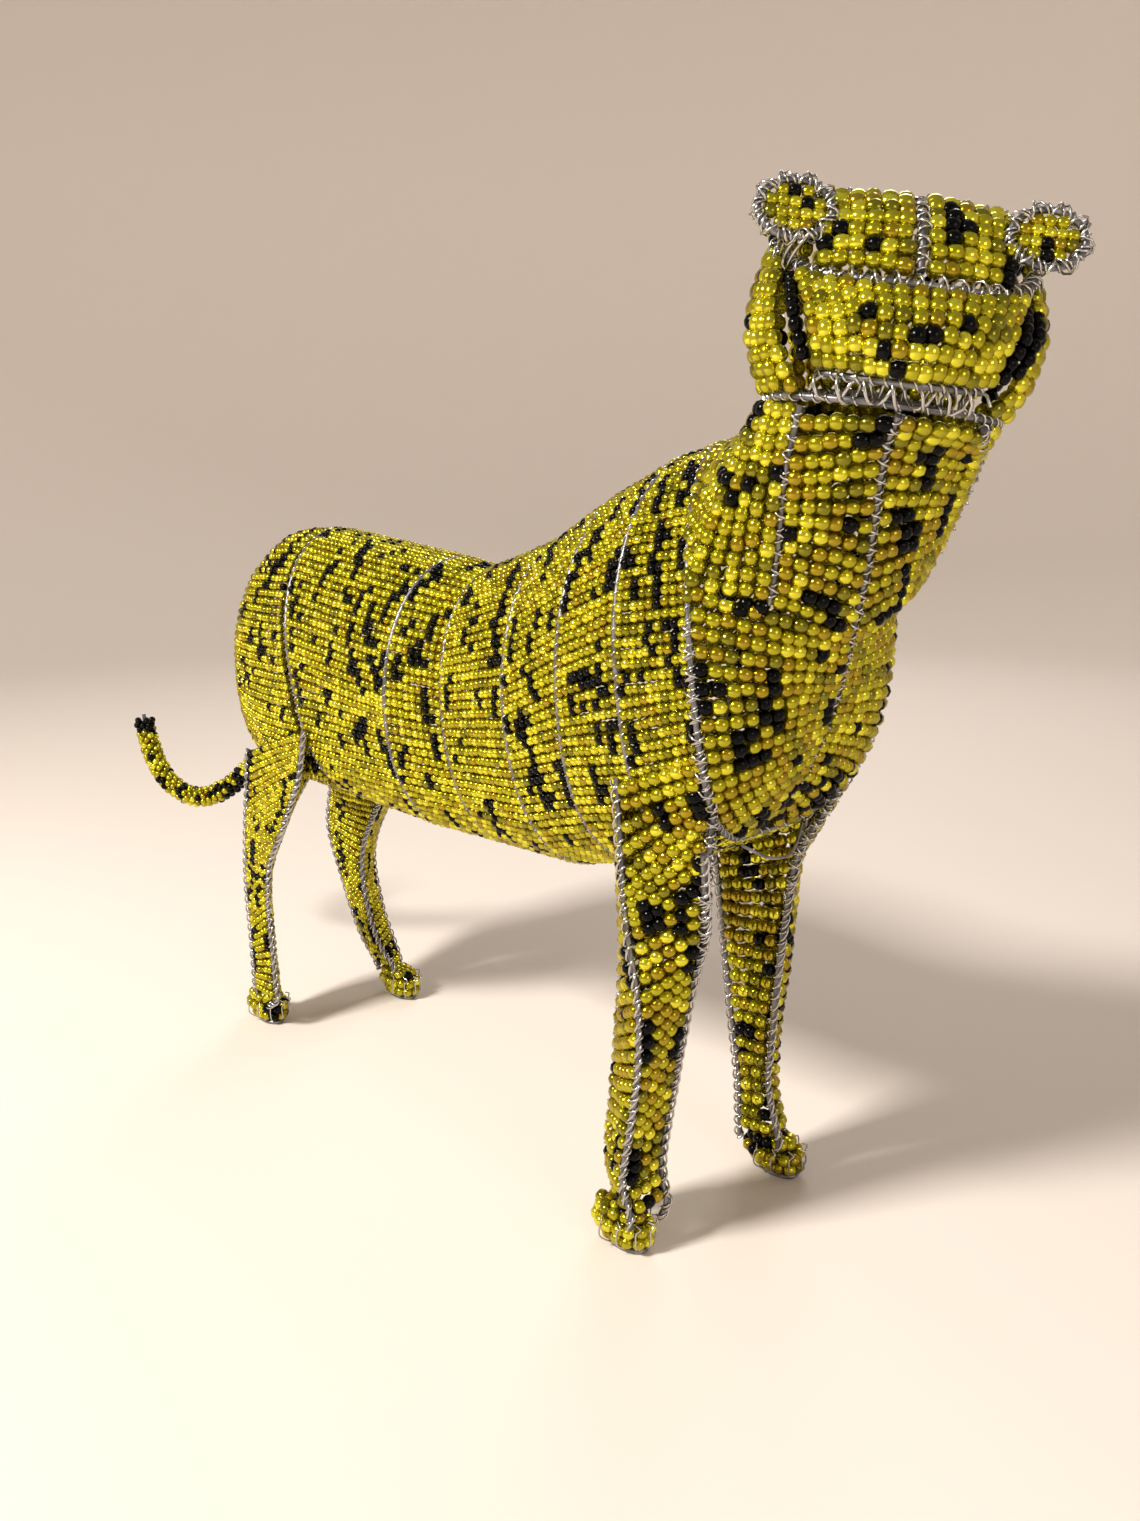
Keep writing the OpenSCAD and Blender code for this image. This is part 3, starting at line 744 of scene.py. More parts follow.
@dataclass(kw_only=True)
class BeadField:
    """A field of threaded rows. Each kind of field says where its rows lie.

    Spots is how many chains of black beads start, as a share of the beads. Pitch is the way
    from one bead to the next and slack how far a row can slip, both as shares of a bead.
    """

    node: str
    bead: float
    spots: float = 0.05
    closed: bool = False
    mix: tuple[float, ...] = BODY_MIX
    pitch: float = 0.89
    slack: float = 0.1

    def rows(self) -> list[np.ndarray]:
        """Returns the line of every row."""
        raise NotImplementedError

    def string(self, beader: Beader) -> Strung:
        """Threads the beads of every row and picks which of them are black."""
        strung, where = Strung(), []
        for line in self.rows():
            far = run_lengths(line)
            count = max(1, round(far[-1] / (self.bead * self.pitch)))
            slack = beader.dice.uniform(-self.slack, self.slack)
            places = (np.arange(count) + 0.5 + slack) / count * far[-1]
            spread = np.column_stack([np.interp(places, far, line[:, k]) for k in range(3)])
            ahead = unit(line[-1] - line[0]) if count == 1 else None
            first = len(strung.middles)
            for k, middle in enumerate(spread):
                if ahead is None:
                    hole = unit(spread[min(k + 1, count - 1)] - spread[max(k - 1, 0)])
                else:
                    hole = ahead
                strung.add(middle, hole, self.bead, beader.shade(self.mix))
            where.append((first, count))
            if far[-1] > self.bead:
                strung.threads.append(line[::2])
        self.spot(beader, strung, where)
        return strung

    def spot(self, beader: Beader, strung: Strung, where: list[tuple[int, int]]) -> None:
        """Turns beads black, singly and in short chains that cross neighbouring rows.

        Args:
            beader: holds the dice.
            strung: the beads.
            where: the first bead and the number of beads of each row.
        """
        dice = beader.dice
        total = sum(count for _, count in where)
        for _ in range(int(total * self.spots)):
            row = int(dice.integers(len(where)))
            share, drift = dice.uniform(0, 1), dice.uniform(-CHAIN_DRIFT, CHAIN_DRIFT)
            length = int(dice.choice(CHAIN_LENGTHS, p=CHAIN_ODDS))
            for step in range(length):
                first, count = where[(row + step) % len(where)]
                if not self.closed and row + step >= len(where):
                    break
                k = min(int((share + drift * step) % 1 * count), count - 1)
                strung.shades[first + k] = Shade.BLACK
                if dice.uniform() < PAIR_ODDS and k + 1 < count:
                    strung.shades[first + k + 1] = Shade.BLACK

    def build(self, beader: Beader) -> bpy.types.Object:
        """Makes the field's piece."""
        return beader.piece(self.node + "_rows", self.string(beader), self.node)


@dataclass(kw_only=True)
class RailField(BeadField):
    """Rows of beads threaded from one rail to another."""

    start: Rail
    end: Rail
    cut: tuple[float, float] = (1.2 * MM, 1.2 * MM)
    bow: Bow = lambda s: np.zeros(3)
    way: tuple[float, float] = (0.0, 1.0)
    crowd: float = 0.96
    fan: float = 0.84

    def row(self, s: float) -> np.ndarray:
        """Returns the line of the row at share s, cut back from both frame wires."""
        a, c = self.start(s), self.end(s)
        b = (a + c) / 2 + self.bow(s)
        t = np.linspace(0, 1, 17)[:, None]
        line = (1 - t) ** 2 * a + 2 * t * (1 - t) * (2 * b - (a + c) / 2) + t * t * c
        return self.trimmed(line)

    def trimmed(self, line: np.ndarray) -> np.ndarray:
        """Cuts both ends of a row back to where its first and last beads begin."""
        far = run_lengths(line)
        low, high = self.cut[0], far[-1] - self.cut[1]
        if high - low < self.bead * 0.4:
            low = high = far[-1] / 2
        where = np.linspace(low, high, 13)
        return np.column_stack([np.interp(where, far, line[:, k]) for k in range(3)])

    def rows(self) -> list[np.ndarray]:
        """Returns the line of every row, evenly spread from one side of the field to the other."""
        shares = np.linspace(*self.way, 80)
        first = np.array([self.start(s) for s in shares])
        last = np.array([self.end(s) for s in shares])
        far = run_lengths((first + last) / 2)
        widest = max(run_lengths(first)[-1], run_lengths(last)[-1])
        n = max(2, round(max(far[-1], self.fan * widest) / (self.bead * self.crowd)))
        where = np.arange(n) / n if self.closed else (np.arange(n) + 0.5) / n
        return [self.row(s) for s in np.interp(where * far[-1], far, shares)]


@dataclass(kw_only=True)
class RowField(BeadField):
    """A field whose rows are given as lines."""

    given: list[np.ndarray]

    def rows(self) -> list[np.ndarray]:
        """Returns the rows as they were given."""
        return self.given


# ---- The body ----


@dataclass
class Torso:
    """The seven hoops, the long wires under the beadwork, the bands and the rump."""

    bead: float = 3.0 * MM
    names: tuple[str, ...] = ("haunch", "flank", "waist", "belly", "rib", "chest", "shoulder")
    bands: tuple[str, ...] = ("haunch", "flank", "waist", "belly", "rib", "shoulder")
    band_spots: tuple[float, ...] = (0.065, 0.07, 0.065, 0.07, 0.08, 0.09)
    rump_square: float = 0.77
    inset: float = 1.2 * MM
    hoops: dict[str, np.ndarray] = field(default_factory=dict)

    def read(self) -> None:
        """Reads the hoops: each starts at its top and goes off to the animal's left."""
        for name in self.names:
            self.hoops[name] = READER.loop(name + "_hoop", Z_UP, np.array([1.0, 0.0, 0.0]))

    def hoop_at(self, name: str, angle: float) -> np.ndarray:
        """Returns the point of a hoop at an angle from its top, towards the left."""
        return loop_at(self.hoops[name], angle)[0]

    def build_wires(self, bender: WireBender) -> None:
        """Bends the hoops and the long wires."""
        for name, loop in self.hoops.items():
            FrameWire(name + "_hoop", [loop], closed=True, lace=0.4 * MM).build(bender)
        back = np.array([0.0, 1.0, 0.0])
        for node in ("spine_wire", "belly_wire"):
            line = READER.line(node, back)
            FrameWire(node, [line], lacing=Lacing.NONE).build(bender)

    def build_shoulder_lacing(self, bender: WireBender) -> None:
        """Winds the heavy braid from the shoulder hoop down on to the leg's front wire."""
        for side, name in ((-1, "right"), (1, "left")):
            legs = READER.lines(f"front_{name}_leg_wires")
            tops = [p if p[0][2] > p[-1][2] else p[::-1] for p in legs]
            leg = min(tops, key=lambda p: p[0][1])
            hoop = loop_at(self.hoops["shoulder"], np.linspace(78, 140, 16) * side)
            bridge = smooth_line(np.vstack([hoop[-3:-1], leg[1:3]]), 6)
            wire = bender.bend(
                f"shoulder_bridge_{name}", [bridge], WIRE_D, False, bender.frame_steel, 3
            )
            line = even_line(np.vstack([hoop[:-3], bridge, leg[3:4]]), 3.0 * MM)
            braid = FrameWire("shoulder_hoop", [line], lacing=Lacing.BRAIDED, lace=0.6 * MM)
            laces = braid.laces(None)
            piece = f"shoulder_braid_{name}"
            bender.bend(piece, laces, braid.lace, False, bender.thread_steel, 1)
            LOG.info("%s: braided on the shoulder hoop and the leg", wire.name)

    def band(self, index: int) -> BeadField:
        """Returns the field between one hoop and the next."""
        a, b = self.hoops[self.names[index]], self.hoops[self.names[index + 1]]
        return RailField(
            node=self.bands[index] + "_beadwork",
            start=lambda s: loop_at(a, 360 * s)[0],
            end=lambda s: loop_at(b, 360 * s)[0],
            bead=self.bead,
            cut=(0.35 * MM, 0.35 * MM),
            spots=self.band_spots[index],
            closed=True,
        )

    def rump_line(self) -> tuple[np.ndarray, np.ndarray]:
        """Returns the middle line of the rump and the share that each of its points is at."""
        spine = READER.line("spine_wire", np.array([0.0, 1.0, 0.0]))
        tail = spine[len(self.names) :]
        shares = 0.2 + 0.8 * np.arange(len(tail)) / (len(tail) - 1)
        return np.vstack([self.hoop_at("haunch", 0), tail]), np.concatenate([[0.0], shares])

    def rump_rows(self, side: int) -> list[np.ndarray]:
        """Returns the rows of one side of the rump, which curl in to its middle line."""
        middle, along = self.rump_line()
        shares = np.linspace(0.03, 0.97, 60)
        rim = np.array([self.hoop_at("haunch", side * 180 * s) for s in shares])
        far = run_lengths(rim)
        count = round(far[-1] / self.bead)
        w = np.radians(np.linspace(1, 89, 18))
        made = []
        for s in np.interp(np.linspace(0, far[-1], count), far, shares):
            a = self.hoop_at("haunch", side * 180 * s)
            where = 0.12 + 0.86 * s
            c = np.array([np.interp(where, along, middle[:, k]) for k in range(3)])
            x = side * self.inset + (a[0] - side * self.inset) * np.cos(w) ** self.rump_square
            y = a[1] + self.inset + (c[1] - a[1] - self.inset) * np.sin(w) ** self.rump_square
            z = a[2] + (c[2] - a[2]) * (1 - np.cos(w))
            made.append(np.column_stack([x, y, z]))
        return made

    def build_rump(self, beader: Beader) -> None:
        """Threads both sides of the rump as one piece."""
        whole = Strung()
        for side in (-1, 1):
            rows = self.rump_rows(side)
            part = RowField(node="rump_beadwork", given=rows, bead=self.bead, spots=0.055)
            whole.join(part.string(beader))
        beader.piece("rump_beadwork_rows", whole, "rump_beadwork")

    def build(self, bender: WireBender, beader: Beader) -> None:
        """Makes every piece of the body."""
        self.build_wires(bender)
        self.build_shoulder_lacing(bender)
        for index in range(len(self.bands)):
            self.band(index).build(beader)
        self.build_rump(beader)


# ---- The head ----


@dataclass
class Head:
    """The head's wires and the fields of beads between them.

    Dark holds the black beads of the muzzle, as shares across and down it: the eyes, the
    nose and the mouth.
    """

    turn: float = 47.0
    roll: float = 8.0
    bead: float = 4.0 * MM
    muzzle_side: float = 0.62
    columns: int = 15
    dark: tuple[tuple[float, float], ...] = (
        (-0.42, 0.3),
        (0.42, 0.3),
        (0.05, 0.52),
        (0.12, 0.55),
        (-0.25, 0.78),
        (-0.2, 0.9),
    )
    wires: dict[str, np.ndarray] = field(default_factory=dict)

    def axes(self) -> tuple[np.ndarray, np.ndarray, np.ndarray]:
        """Returns the head's left, forward and up directions."""
        t, r = math.radians(self.turn), math.radians(self.roll)
        flat = np.array([math.cos(t), -math.sin(t), 0.0])
        forward = np.array([-math.sin(t), -math.cos(t), 0.0])
        left = flat * math.cos(r) - Z_UP * math.sin(r)
        up = flat * math.sin(r) + Z_UP * math.cos(r)
        return left, forward, up

    def turned(self, q: np.ndarray) -> np.ndarray:
        """Returns a step given as left, forward, up in millimetres, in the row frame."""
        left, forward, up = self.axes()
        return (q[0] * left + q[1] * forward + q[2] * up) * MM

    def read(self) -> None:
        """Reads the head's wires. Those that cross the face run from its right to its left."""
        left, forward, up = self.axes()
        for node in ("crown_wire", "brow_wire", "mouth_wire"):
            self.wires[node] = READER.line(node, left)
        self.wires["face_centre_wire"] = READER.line("face_centre_wire", forward)
        self.wires["jaw_hoop"] = READER.loop("jaw_hoop", left, forward)

    def across(self, node: str, s: float, full: float = 1.0) -> np.ndarray:
        """Returns the point of a wire across the face at s, from -1 at its right to 1."""
        return at_share(self.wires[node], (s / full + 1) / 2)[0]

    def jaw_at(self, angle: float) -> np.ndarray:
        """Returns the point of the jaw hoop at an angle from its left side, going forward."""
        return loop_at(self.wires["jaw_hoop"], angle)[0]

    def build_wires(self, bender: WireBender) -> None:
        """Bends the head's wires and winds their lacing."""
        for node, lacing in {
            "crown_wire": Lacing.COILED,
            "brow_wire": Lacing.OPEN_LOOPS,
            "mouth_wire": Lacing.TURNS,
            "face_centre_wire": Lacing.COILED,
        }.items():
            wire = FrameWire(node, [self.wires[node]], lacing=lacing, lace=0.6 * MM)
            wire.build(bender)
        FrameWire("jaw_hoop", [self.wires["jaw_hoop"]], closed=True).build(bender)
        self.build_mouth_loops(bender)
        for side in ("right", "left"):
            loop = READER.lines("ear_loop_" + side)[0]
            node = "ear_loop_" + side
            wire = FrameWire(node, [loop], closed=True, lacing=Lacing.BRAIDED, lace=0.6 * MM)
            wire.build(bender)

    def build_mouth_loops(self, bender: WireBender) -> None:
        """Winds the big open loops that tie the mouth wire to the front of the jaw hoop."""
        shares = np.linspace(-1.0, 1.0, 15)
        mouth = np.array([self.across("mouth_wire", s) for s in shares])
        jaw = np.array([self.jaw_at(90 - 43 * s) for s in shares])
        between = FrameWire("mouth_wire", [(mouth + jaw) / 2], seed=7)
        line = smooth_line(between.lines[0], 3)
        loops = [
            between.helix(line, 5.3 * MM, 3.1 * MM, 0.0),
            between.helix(line, 7.9 * MM, 2.6 * MM, 2.0, -1),
        ]
        bender.bend("mouth_loops", loops, 0.85 * MM, False, bender.thread_steel, 1)
        LOG.info("mouth_loops: %d strands", len(loops))

    def forehead(self, side: int) -> BeadField:
        """Returns one side of the forehead: rows from the crown down to the brow."""
        return RailField(
            node="forehead_beadwork",
            start=lambda t: self.forehead_point(side * 0.03, t),
            end=lambda t: self.forehead_point(side * 0.56, t),
            bead=self.bead,
            cut=(0.3 * MM, 0.0),
            bow=lambda t: self.turned(np.array([0.0, 0.6, 0.6])),
            way=(0.04, 0.96),
            spots=0.07,
        )

    def forehead_point(self, s: float, t: float) -> np.ndarray:
        """Returns a point of the forehead at s across and t from the crown to the brow."""
        a, c = self.across("crown_wire", s, 0.97), self.across("brow_wire", s)
        swell = 4 * t * (1 - t) * (1 - 0.6 * s * s)
        return a * (1 - t) + c * t + self.turned(np.array([0.0, 3.5, 3.0])) * swell

    def muzzle_point(self, s: float, t: float) -> np.ndarray:
        """Returns a point of the muzzle at s across and t from the brow to the mouth."""
        a = self.across("brow_wire", s * self.muzzle_side)
        c = self.across("mouth_wire", s * 0.94)
        return a * (1 - t) + c * t + self.turned(np.array([0.0, 6.0, 0.0])) * 4 * t * (1 - t)

    def build_muzzle(self, beader: Beader) -> None:
        """Threads the upright columns of the muzzle, with the eyes and the nose in them."""
        rows = []
        for i in range(self.columns):
            s = ((i + 0.5) / self.columns * 2 - 1) * 1.17
            far = np.linalg.norm(self.muzzle_point(s, 1) - self.muzzle_point(s, 0))
            edge = 1.2 * MM / far
            down = np.linspace(edge, 1 - edge, 13)
            rows.append(np.array([self.muzzle_point(s, t) for t in down]))
        muzzle = RowField(node="muzzle_beadwork", given=rows, bead=self.bead, spots=0.0)
        strung = muzzle.string(beader)
        middles = np.array(strung.middles)
        for s, t in self.dark:
            near = np.linalg.norm(middles - self.muzzle_point(s, t), axis=1)
            strung.shades[int(near.argmin())] = Shade.BLACK
        beader.piece("muzzle_beadwork_rows", strung, "muzzle_beadwork")

    def cheek(self, side: int, name: str) -> BeadField:
        """Returns one cheek: upright rows from the brow wire down to the jaw hoop."""

        def top(s: float) -> np.ndarray:
            """Returns the upper end of the row at share s."""
            return self.across("brow_wire", side * (0.86 + 0.14 * s))

        def foot(s: float) -> np.ndarray:
            """Returns the lower end of the row at share s."""
            angle = 36 - 54 * s
            return self.jaw_at(angle if side > 0 else 180 - angle)

        return RailField(
            node=f"cheek_beadwork_{name}",
            start=top,
            end=foot,
            bead=self.bead,
            cut=(1.2 * MM, 1.0 * MM),
            bow=lambda s: self.turned(np.array([side * 4.5, 3 - 4 * s, 0.0])),
            way=(-0.14, 1.0),
            spots=0.14 if side > 0 else 0.05,
        )

    def head_back(self) -> BeadField:
        """Returns the back of the head: rows from the crown down to the jaw hoop's back."""

        def place(s: float) -> float:
            """Returns the place across the head, -1 to 1, of the row at share s."""
            return -0.88 + 1.76 * s

        def bow(s: float) -> np.ndarray:
            """Returns how far the middle of the row at share s stands out."""
            q = place(s)
            return self.turned(np.array([5.5 * q, -9 * (1 - 0.6 * q * q), 3.0]))

        return RailField(
            node="head_back_beadwork",
            start=lambda s: self.across("crown_wire", place(s), 0.97),
            end=lambda s: self.jaw_at(270 + 84 * place(s)),
            bead=self.bead,
            cut=(1.4 * MM, 1.0 * MM),
            bow=bow,
            spots=0.06,
        )

    def build_stripes(self, beader: Beader) -> None:
        """Threads the black stripes that run from the eyes down beside the muzzle."""
        for side, name in ((-1, "right"), (1, "left")):
            node = f"tear_stripe_{name}"
            line = WireReader(thickness=4.0 * MM).line(node, -Z_UP)
            inward = np.clip(np.linspace(0.0, 2.0, len(line)), 0.0, 1.0)[:, None]
            line = line + self.turned(np.array([side * -2.0, 2.6, 0.0])) * inward
            rows = [smooth_line(line, 4)]
            if side > 0:
                shift = self.turned(np.array([3.2, -2.4, 0.0]))
                rows.append(smooth_line(line, 4)[3:-2] + shift)
                branch = smooth_line(line, 4)[10:-1]
                away = np.linspace(0.0, 1.0, len(branch))[:, None]
                rows.append(branch - self.turned(np.array([7.0, -1.5, 0.0])) * (0.4 + 0.6 * away))
            stripe = RowField(node=node, given=rows, bead=self.bead * 0.85, spots=0.0)
            strung = stripe.string(beader)
            strung.shades = [Shade.BLACK] * len(strung.shades)
            beader.piece(node + "_row", strung, node)

    def build_ears(self, beader: Beader) -> None:
        """Threads the small pad of rows inside each ear loop."""
        left, _, up = self.axes()
        for side in ("right", "left"):
            loop = READER.lines("ear_loop_" + side)[0]
            centre = loop.mean(0)
            wide = unit(loop[np.argmax((loop - centre) @ left)] - centre)
            tall = unit(loop[np.argmax((loop - centre) @ up)] - centre)
            half_w = np.abs((loop - centre) @ wide).max() - 1.4 * MM
            half_h = np.abs((loop - centre) @ tall).max() - 1.6 * MM
            rows = []
            for v in (-0.78, -0.26, 0.26, 0.78):
                reach = half_w * math.sqrt(1 - v * v)
                middle = centre + tall * half_h * v
                rows.append(np.array([middle + wide * reach * u for u in np.linspace(-1, 1, 9)]))
            node = "ear_beadwork_" + side
            RowField(node=node, given=rows, bead=3.1 * MM, spots=0.1).build(beader)

    def build_ear_strands(self, bender: WireBender) -> None:
        """Lays the long bare strands of thin wire between the right ear and the brow."""
        right = READER.lines("ear_loop_right")[0]
        low = right[np.argmin(right[:, 2])]
        strands = []
        for k, s in enumerate((-0.98, -0.93, -0.88, -0.83)):
            foot = self.across("brow_wire", s) + self.turned(np.array([0.0, 1.4, -1.0 - k]))
            head = low + self.turned(np.array([1.6 * k - 1.0, 0.8, 1.2]))
            middle = (foot + head) / 2 + self.turned(np.array([-0.8, 2.6, 0.0]))
            strands.append(smooth_line(np.array([head, middle, foot]), 6))
        bender.bend("right_ear_strands", strands, 0.8 * MM, False, bender.thread_steel, 1)
        LOG.info("right_ear_strands: %d strands", len(strands))

    def build(self, bender: WireBender, beader: Beader) -> None:
        """Makes every piece of the head."""
        self.build_wires(bender)
        self.build_ear_strands(bender)
        whole = Strung()
        for side in (-1, 1):
            part = self.forehead(side).string(beader)
            whole.join(part)
        beader.piece("forehead_beadwork_rows", whole, "forehead_beadwork")
        self.build_muzzle(beader)
        self.cheek(-1, "right").build(beader)
        self.cheek(1, "left").build(beader)
        self.head_back().build(beader)
        self.build_stripes(beader)
        self.build_ears(beader)


# ---- The neck and the chest ----


@dataclass
class Neck:
    """The wires and the beadwork between the jaw hoop and the chest.

    The chest starts at the angle chest_top of the shoulder hoop and goes on by chest_turn. The
    throat's and the chest's rows each take throat_span of the throat wire, from throat_top and
    from chest_share on.
    """

    torso: Torso
    head: Head
    bead: float = 4.0 * MM
    wire_share: float = 0.76
    corner: float = 75.0
    chest_top: float = 69.0
    chest_turn: float = 107.0
    throat_top: float = 0.015
    chest_share: float = 0.49
    throat_span: float = 0.495
    lines: dict[str, np.ndarray] = field(default_factory=dict)

    def read(self) -> None:
        """Reads the neck's wires, from the jaw down."""
        for node in ("neck_side_wire_right", "neck_side_wire_left", "throat_wire"):
            self.lines[node] = READER.line(node, -Z_UP)

    def throat_at(self, share: float) -> np.ndarray:
        """Returns the point of the throat wire at a share of the way down."""
        return at_share(self.lines["throat_wire"], share)[0]

    def side_at(self, name: str, share: float) -> np.ndarray:
        """Returns the point of a side wire, where share 1 is the chest's upper corner."""
        return at_share(self.lines["neck_side_wire_" + name], share / self.wire_share)[0]

    def throat(self, name: str) -> BeadField:
        """Returns the field between a side wire and the throat wire."""
        return RailField(
            node=f"throat_beadwork_{name}",
            start=lambda t: self.side_at(name, 0.02 + (self.wire_share - 0.02) * t),
            end=lambda t: self.throat_at(self.throat_top + self.throat_span * t),
            bead=self.bead,
            cut=(0.7 * MM, 0.7 * MM),
            bow=lambda t: np.array([0.0, -2.5 * MM, 0.0]),
            spots=0.09,
            # More gold beads here paint the shade on the throat.
            mix=SHADED_FRONT_MIX,
        )

    def chest(self, side: int, name: str) -> BeadField:
        """Returns the field between the shoulder hoop and the throat wire."""

        def rim(t: float) -> np.ndarray:
            """Returns the upper end of the row at share t."""
            return self.torso.hoop_at("shoulder", side * (self.chest_top + self.chest_turn * t))

        return RailField(
            node=f"chest_beadwork_{name}",
            start=rim,
            end=lambda t: self.throat_at(self.chest_share + self.throat_span * t),
            bead=self.bead,
            cut=(0.9 * MM, 0.7 * MM),
            bow=lambda t: np.array([side * 5.0, -6.0, 0.0]) * MM * (1 - t),
            spots=0.09,
            # More gold beads here paint the shade on the chest.
            mix=SHADED_FRONT_MIX,
        )

    def neck_end(self, side: int, name: str, s: float) -> np.ndarray:
        """Returns the lower end of a neck row: on the hoop, then along the chest's top."""
        corner = self.torso.hoop_at("shoulder", side * self.corner)
        if s < self.wire_share:
            angle = 2 + (self.corner - 2) * s / self.wire_share
            return self.torso.hoop_at("shoulder", side * angle)
        far = self.side_at(name, self.wire_share) - np.array([0.0, 0.0, 2.5 * MM])
        t = (s - self.wire_share) / (1 - self.wire_share)
        return corner * (1 - t) + far * t

    def neck(self, side: int, name: str) -> BeadField:
        """Returns one side of the neck: rows that run down from the jaw hoop."""

        def bow(s: float) -> np.ndarray:
            """Returns how far the middle of the row at share s stands out."""
            nape, cheek = np.array([0.0, 8.0, -4.0]), np.array([side, 0.0, 0.0])
            return (nape * (1 - s) + cheek * s) * MM

        return RailField(
            node=f"neck_beadwork_{name}",
            start=lambda s: self.head.jaw_at(270 + side * (113 * s + 16 * s**6)),
            end=lambda s: self.neck_end(side, name, s),
            bead=self.bead,
            cut=(1.2 * MM, 0.2 * MM),
            bow=bow,
            spots=0.06,
        )

    def build(self, bender: WireBender, beader: Beader) -> None:
        """Makes every piece of the neck and the chest."""
        for node, line in self.lines.items():
            FrameWire(node, [line], lacing=Lacing.COILED, lace=0.6 * MM).build(bender)
        node, thickness = "loose_thread_wire", 0.8 * MM
        loose = WireReader(thickness=thickness).line(node, np.array([1.0, 0.0, 0.0]))
        FrameWire(node, [loose], lacing=Lacing.NONE, thickness=thickness).build(bender)
        for side, name in ((-1, "right"), (1, "left")):
            self.throat(name).build(beader)
            self.chest(side, name).build(beader)
            self.neck(side, name).build(beader)


# ---- Legs and paws ----


@dataclass
class Leg:
    """One leg: three wires with beads on all three sides, and its paw."""

    name: str
    bead: float
    spots: float = 0.07
    paw_bead: float = 4.0 * MM
    rise: float = 7.0 * MM
    lead: list[np.ndarray] = field(default_factory=list)
    lines: list[np.ndarray] = field(default_factory=list)

    def read(self) -> None:
        """Reads the three wires, each from the body down, and runs both ends on.

        The top goes a little further into the body, and the foot bends into the paw.
        """
        low, high = (np.array(v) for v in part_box(self.name + "_paw_beadwork"))
        inset = np.array([2.2, 2.2, 0.0]) * MM
        for p in READER.lines(self.name + "_leg_wires"):
            line = p if p[0][2] > p[-1][2] else p[::-1]
            top = line[0] + unit(line[0] - line[1]) * self.rise
            toe = np.clip(line[-1], low + inset, high - inset)
            toe[2] = low[2] + 7.5 * MM
            self.lines.append(np.vstack([top, line, toe]))

    def middle(self, points: np.ndarray) -> np.ndarray:
        """Returns the leg's middle at the height of each point."""
        level = []
        for line in self.lines:
            place = np.interp(-points[:, 2], -line[:, 2], np.arange(len(line)))
            level.append(at_share(line, place / (len(line) - 1)))
        return np.mean(level, axis=0)

    def away(self, points: np.ndarray) -> np.ndarray:
        """Returns the direction out of the leg at each point."""
        return unit(points - self.middle(points) + np.array([1e-6, 0.0, 0.0]))

    def side_field(self, i: int, j: int) -> BeadField:
        """Returns the field between two of the leg's wires."""
        a, b, other = self.lines[i], self.lines[j], self.lines[3 - i - j]
        outer = max(self.lines, key=lambda p: abs(p[1][0]))
        front = min(self.lines, key=lambda p: p[1][1])
        if len(self.lead) and (a is outer or b is outer) and (a is front or b is front):
            run_on = np.vstack([self.lead, front[2:]])
            a, b = (run_on, b) if a is front else (a, run_on)

        def bow(t: float) -> np.ndarray:
            """Returns how far the middle of the row at share t stands out."""
            p, q, r = at_share(a, t)[0], at_share(b, t)[0], at_share(other, t)[0]
            along = unit(q - p)
            out = (p + q) / 2 - r
            return unit(out - along * (out @ along)) * 0.7 * MM

        end = 0.8 * MM + self.bead * 0.2
        return RailField(
            node=self.name + "_leg_beadwork",
            start=lambda t: at_share(a, t)[0],
            end=lambda t: at_share(b, t)[0],
            bead=self.bead,
            cut=(end, end),
            bow=bow,
            way=(0.01, 0.94),
            spots=self.spots,
            crowd=1.08 if self.name.startswith("front") else 0.98,
            # The front legs get more gold beads as painted shade.
            mix=SHADED_FRONT_MIX if self.name.startswith("front") else BODY_MIX,
        )

    def build(self, bender: WireBender, beader: Beader) -> None:
        """Makes every piece of the leg."""
        node = self.name + "_leg_wires"
        wires = FrameWire(node, self.lines, lacing=Lacing.LEG_LOOPS, lace=0.65 * MM)
        wires.build(bender, self.away)
        whole = Strung()
        for i, j in ((0, 1), (1, 2), (0, 2)):
            part = self.side_field(i, j).string(beader)
            whole.join(part)
        beader.piece(self.name + "_leg_beadwork_rows", whole, self.name + "_leg_beadwork")
        self.build_paw(bender, beader)

    def outline(
        self, centre: np.ndarray, half: np.ndarray, grow: float, z: float, ahead: float
    ) -> np.ndarray:
        """Returns a closed outline round the paw.

        Args:
            centre: the middle of the paw.
            half: half of its width and its length.
            grow: how much further out the outline lies.
            z: its height.
            ahead: how far it is pushed to the front.
        """
        w = np.linspace(0, 2 * math.pi, 33)
        x = centre[0] + (half[0] + grow) * np.cos(w)
        y = centre[1] - ahead + (half[1] + grow) * np.sin(w)
        return np.column_stack([x, y, np.full(33, z)])

    def build_paw(self, bender: WireBender, beader: Beader) -> None:
        """Winds the beads of the paw, its bare sole ring and the loops that hold them."""
        node = self.name + "_paw_beadwork"
        low, high = (np.array(v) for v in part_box(node))
        centre, half = (low + high) / 2, (high - low) / 2
        r = self.paw_bead / 2
        levels = [(0.16, -1.6, 3.0), (0.48, -0.3, 1.6), (0.8, -1.9, 0.6)]
        rows = []
        for share, grow, ahead in levels:
            z = low[2] + share * (high[2] - low[2])
            rows.append(self.outline(centre, half, grow * MM - r, z, (ahead - 1.6) * MM))
        top = high[2] - r * 0.9
        for reach in (0.55, 0.0, -0.55):
            y = np.linspace(-half[1] + 2.4 * r, half[1] - 2.4 * r, 9)
            x = np.full(9, centre[0] + reach * (half[0] - 2 * r))
            rows.append(np.column_stack([x, centre[1] + y, np.full(9, top)]))
        rows.append(self.outline(centre, half, -3.2 * r, low[2] + r * 0.9, 1.4 * MM))
        strung = RowField(node=node, given=rows, bead=self.paw_bead, spots=0.06).string(beader)
        beader.piece(node + "_rows", strung, node)
        self.build_sole(bender, centre, half)

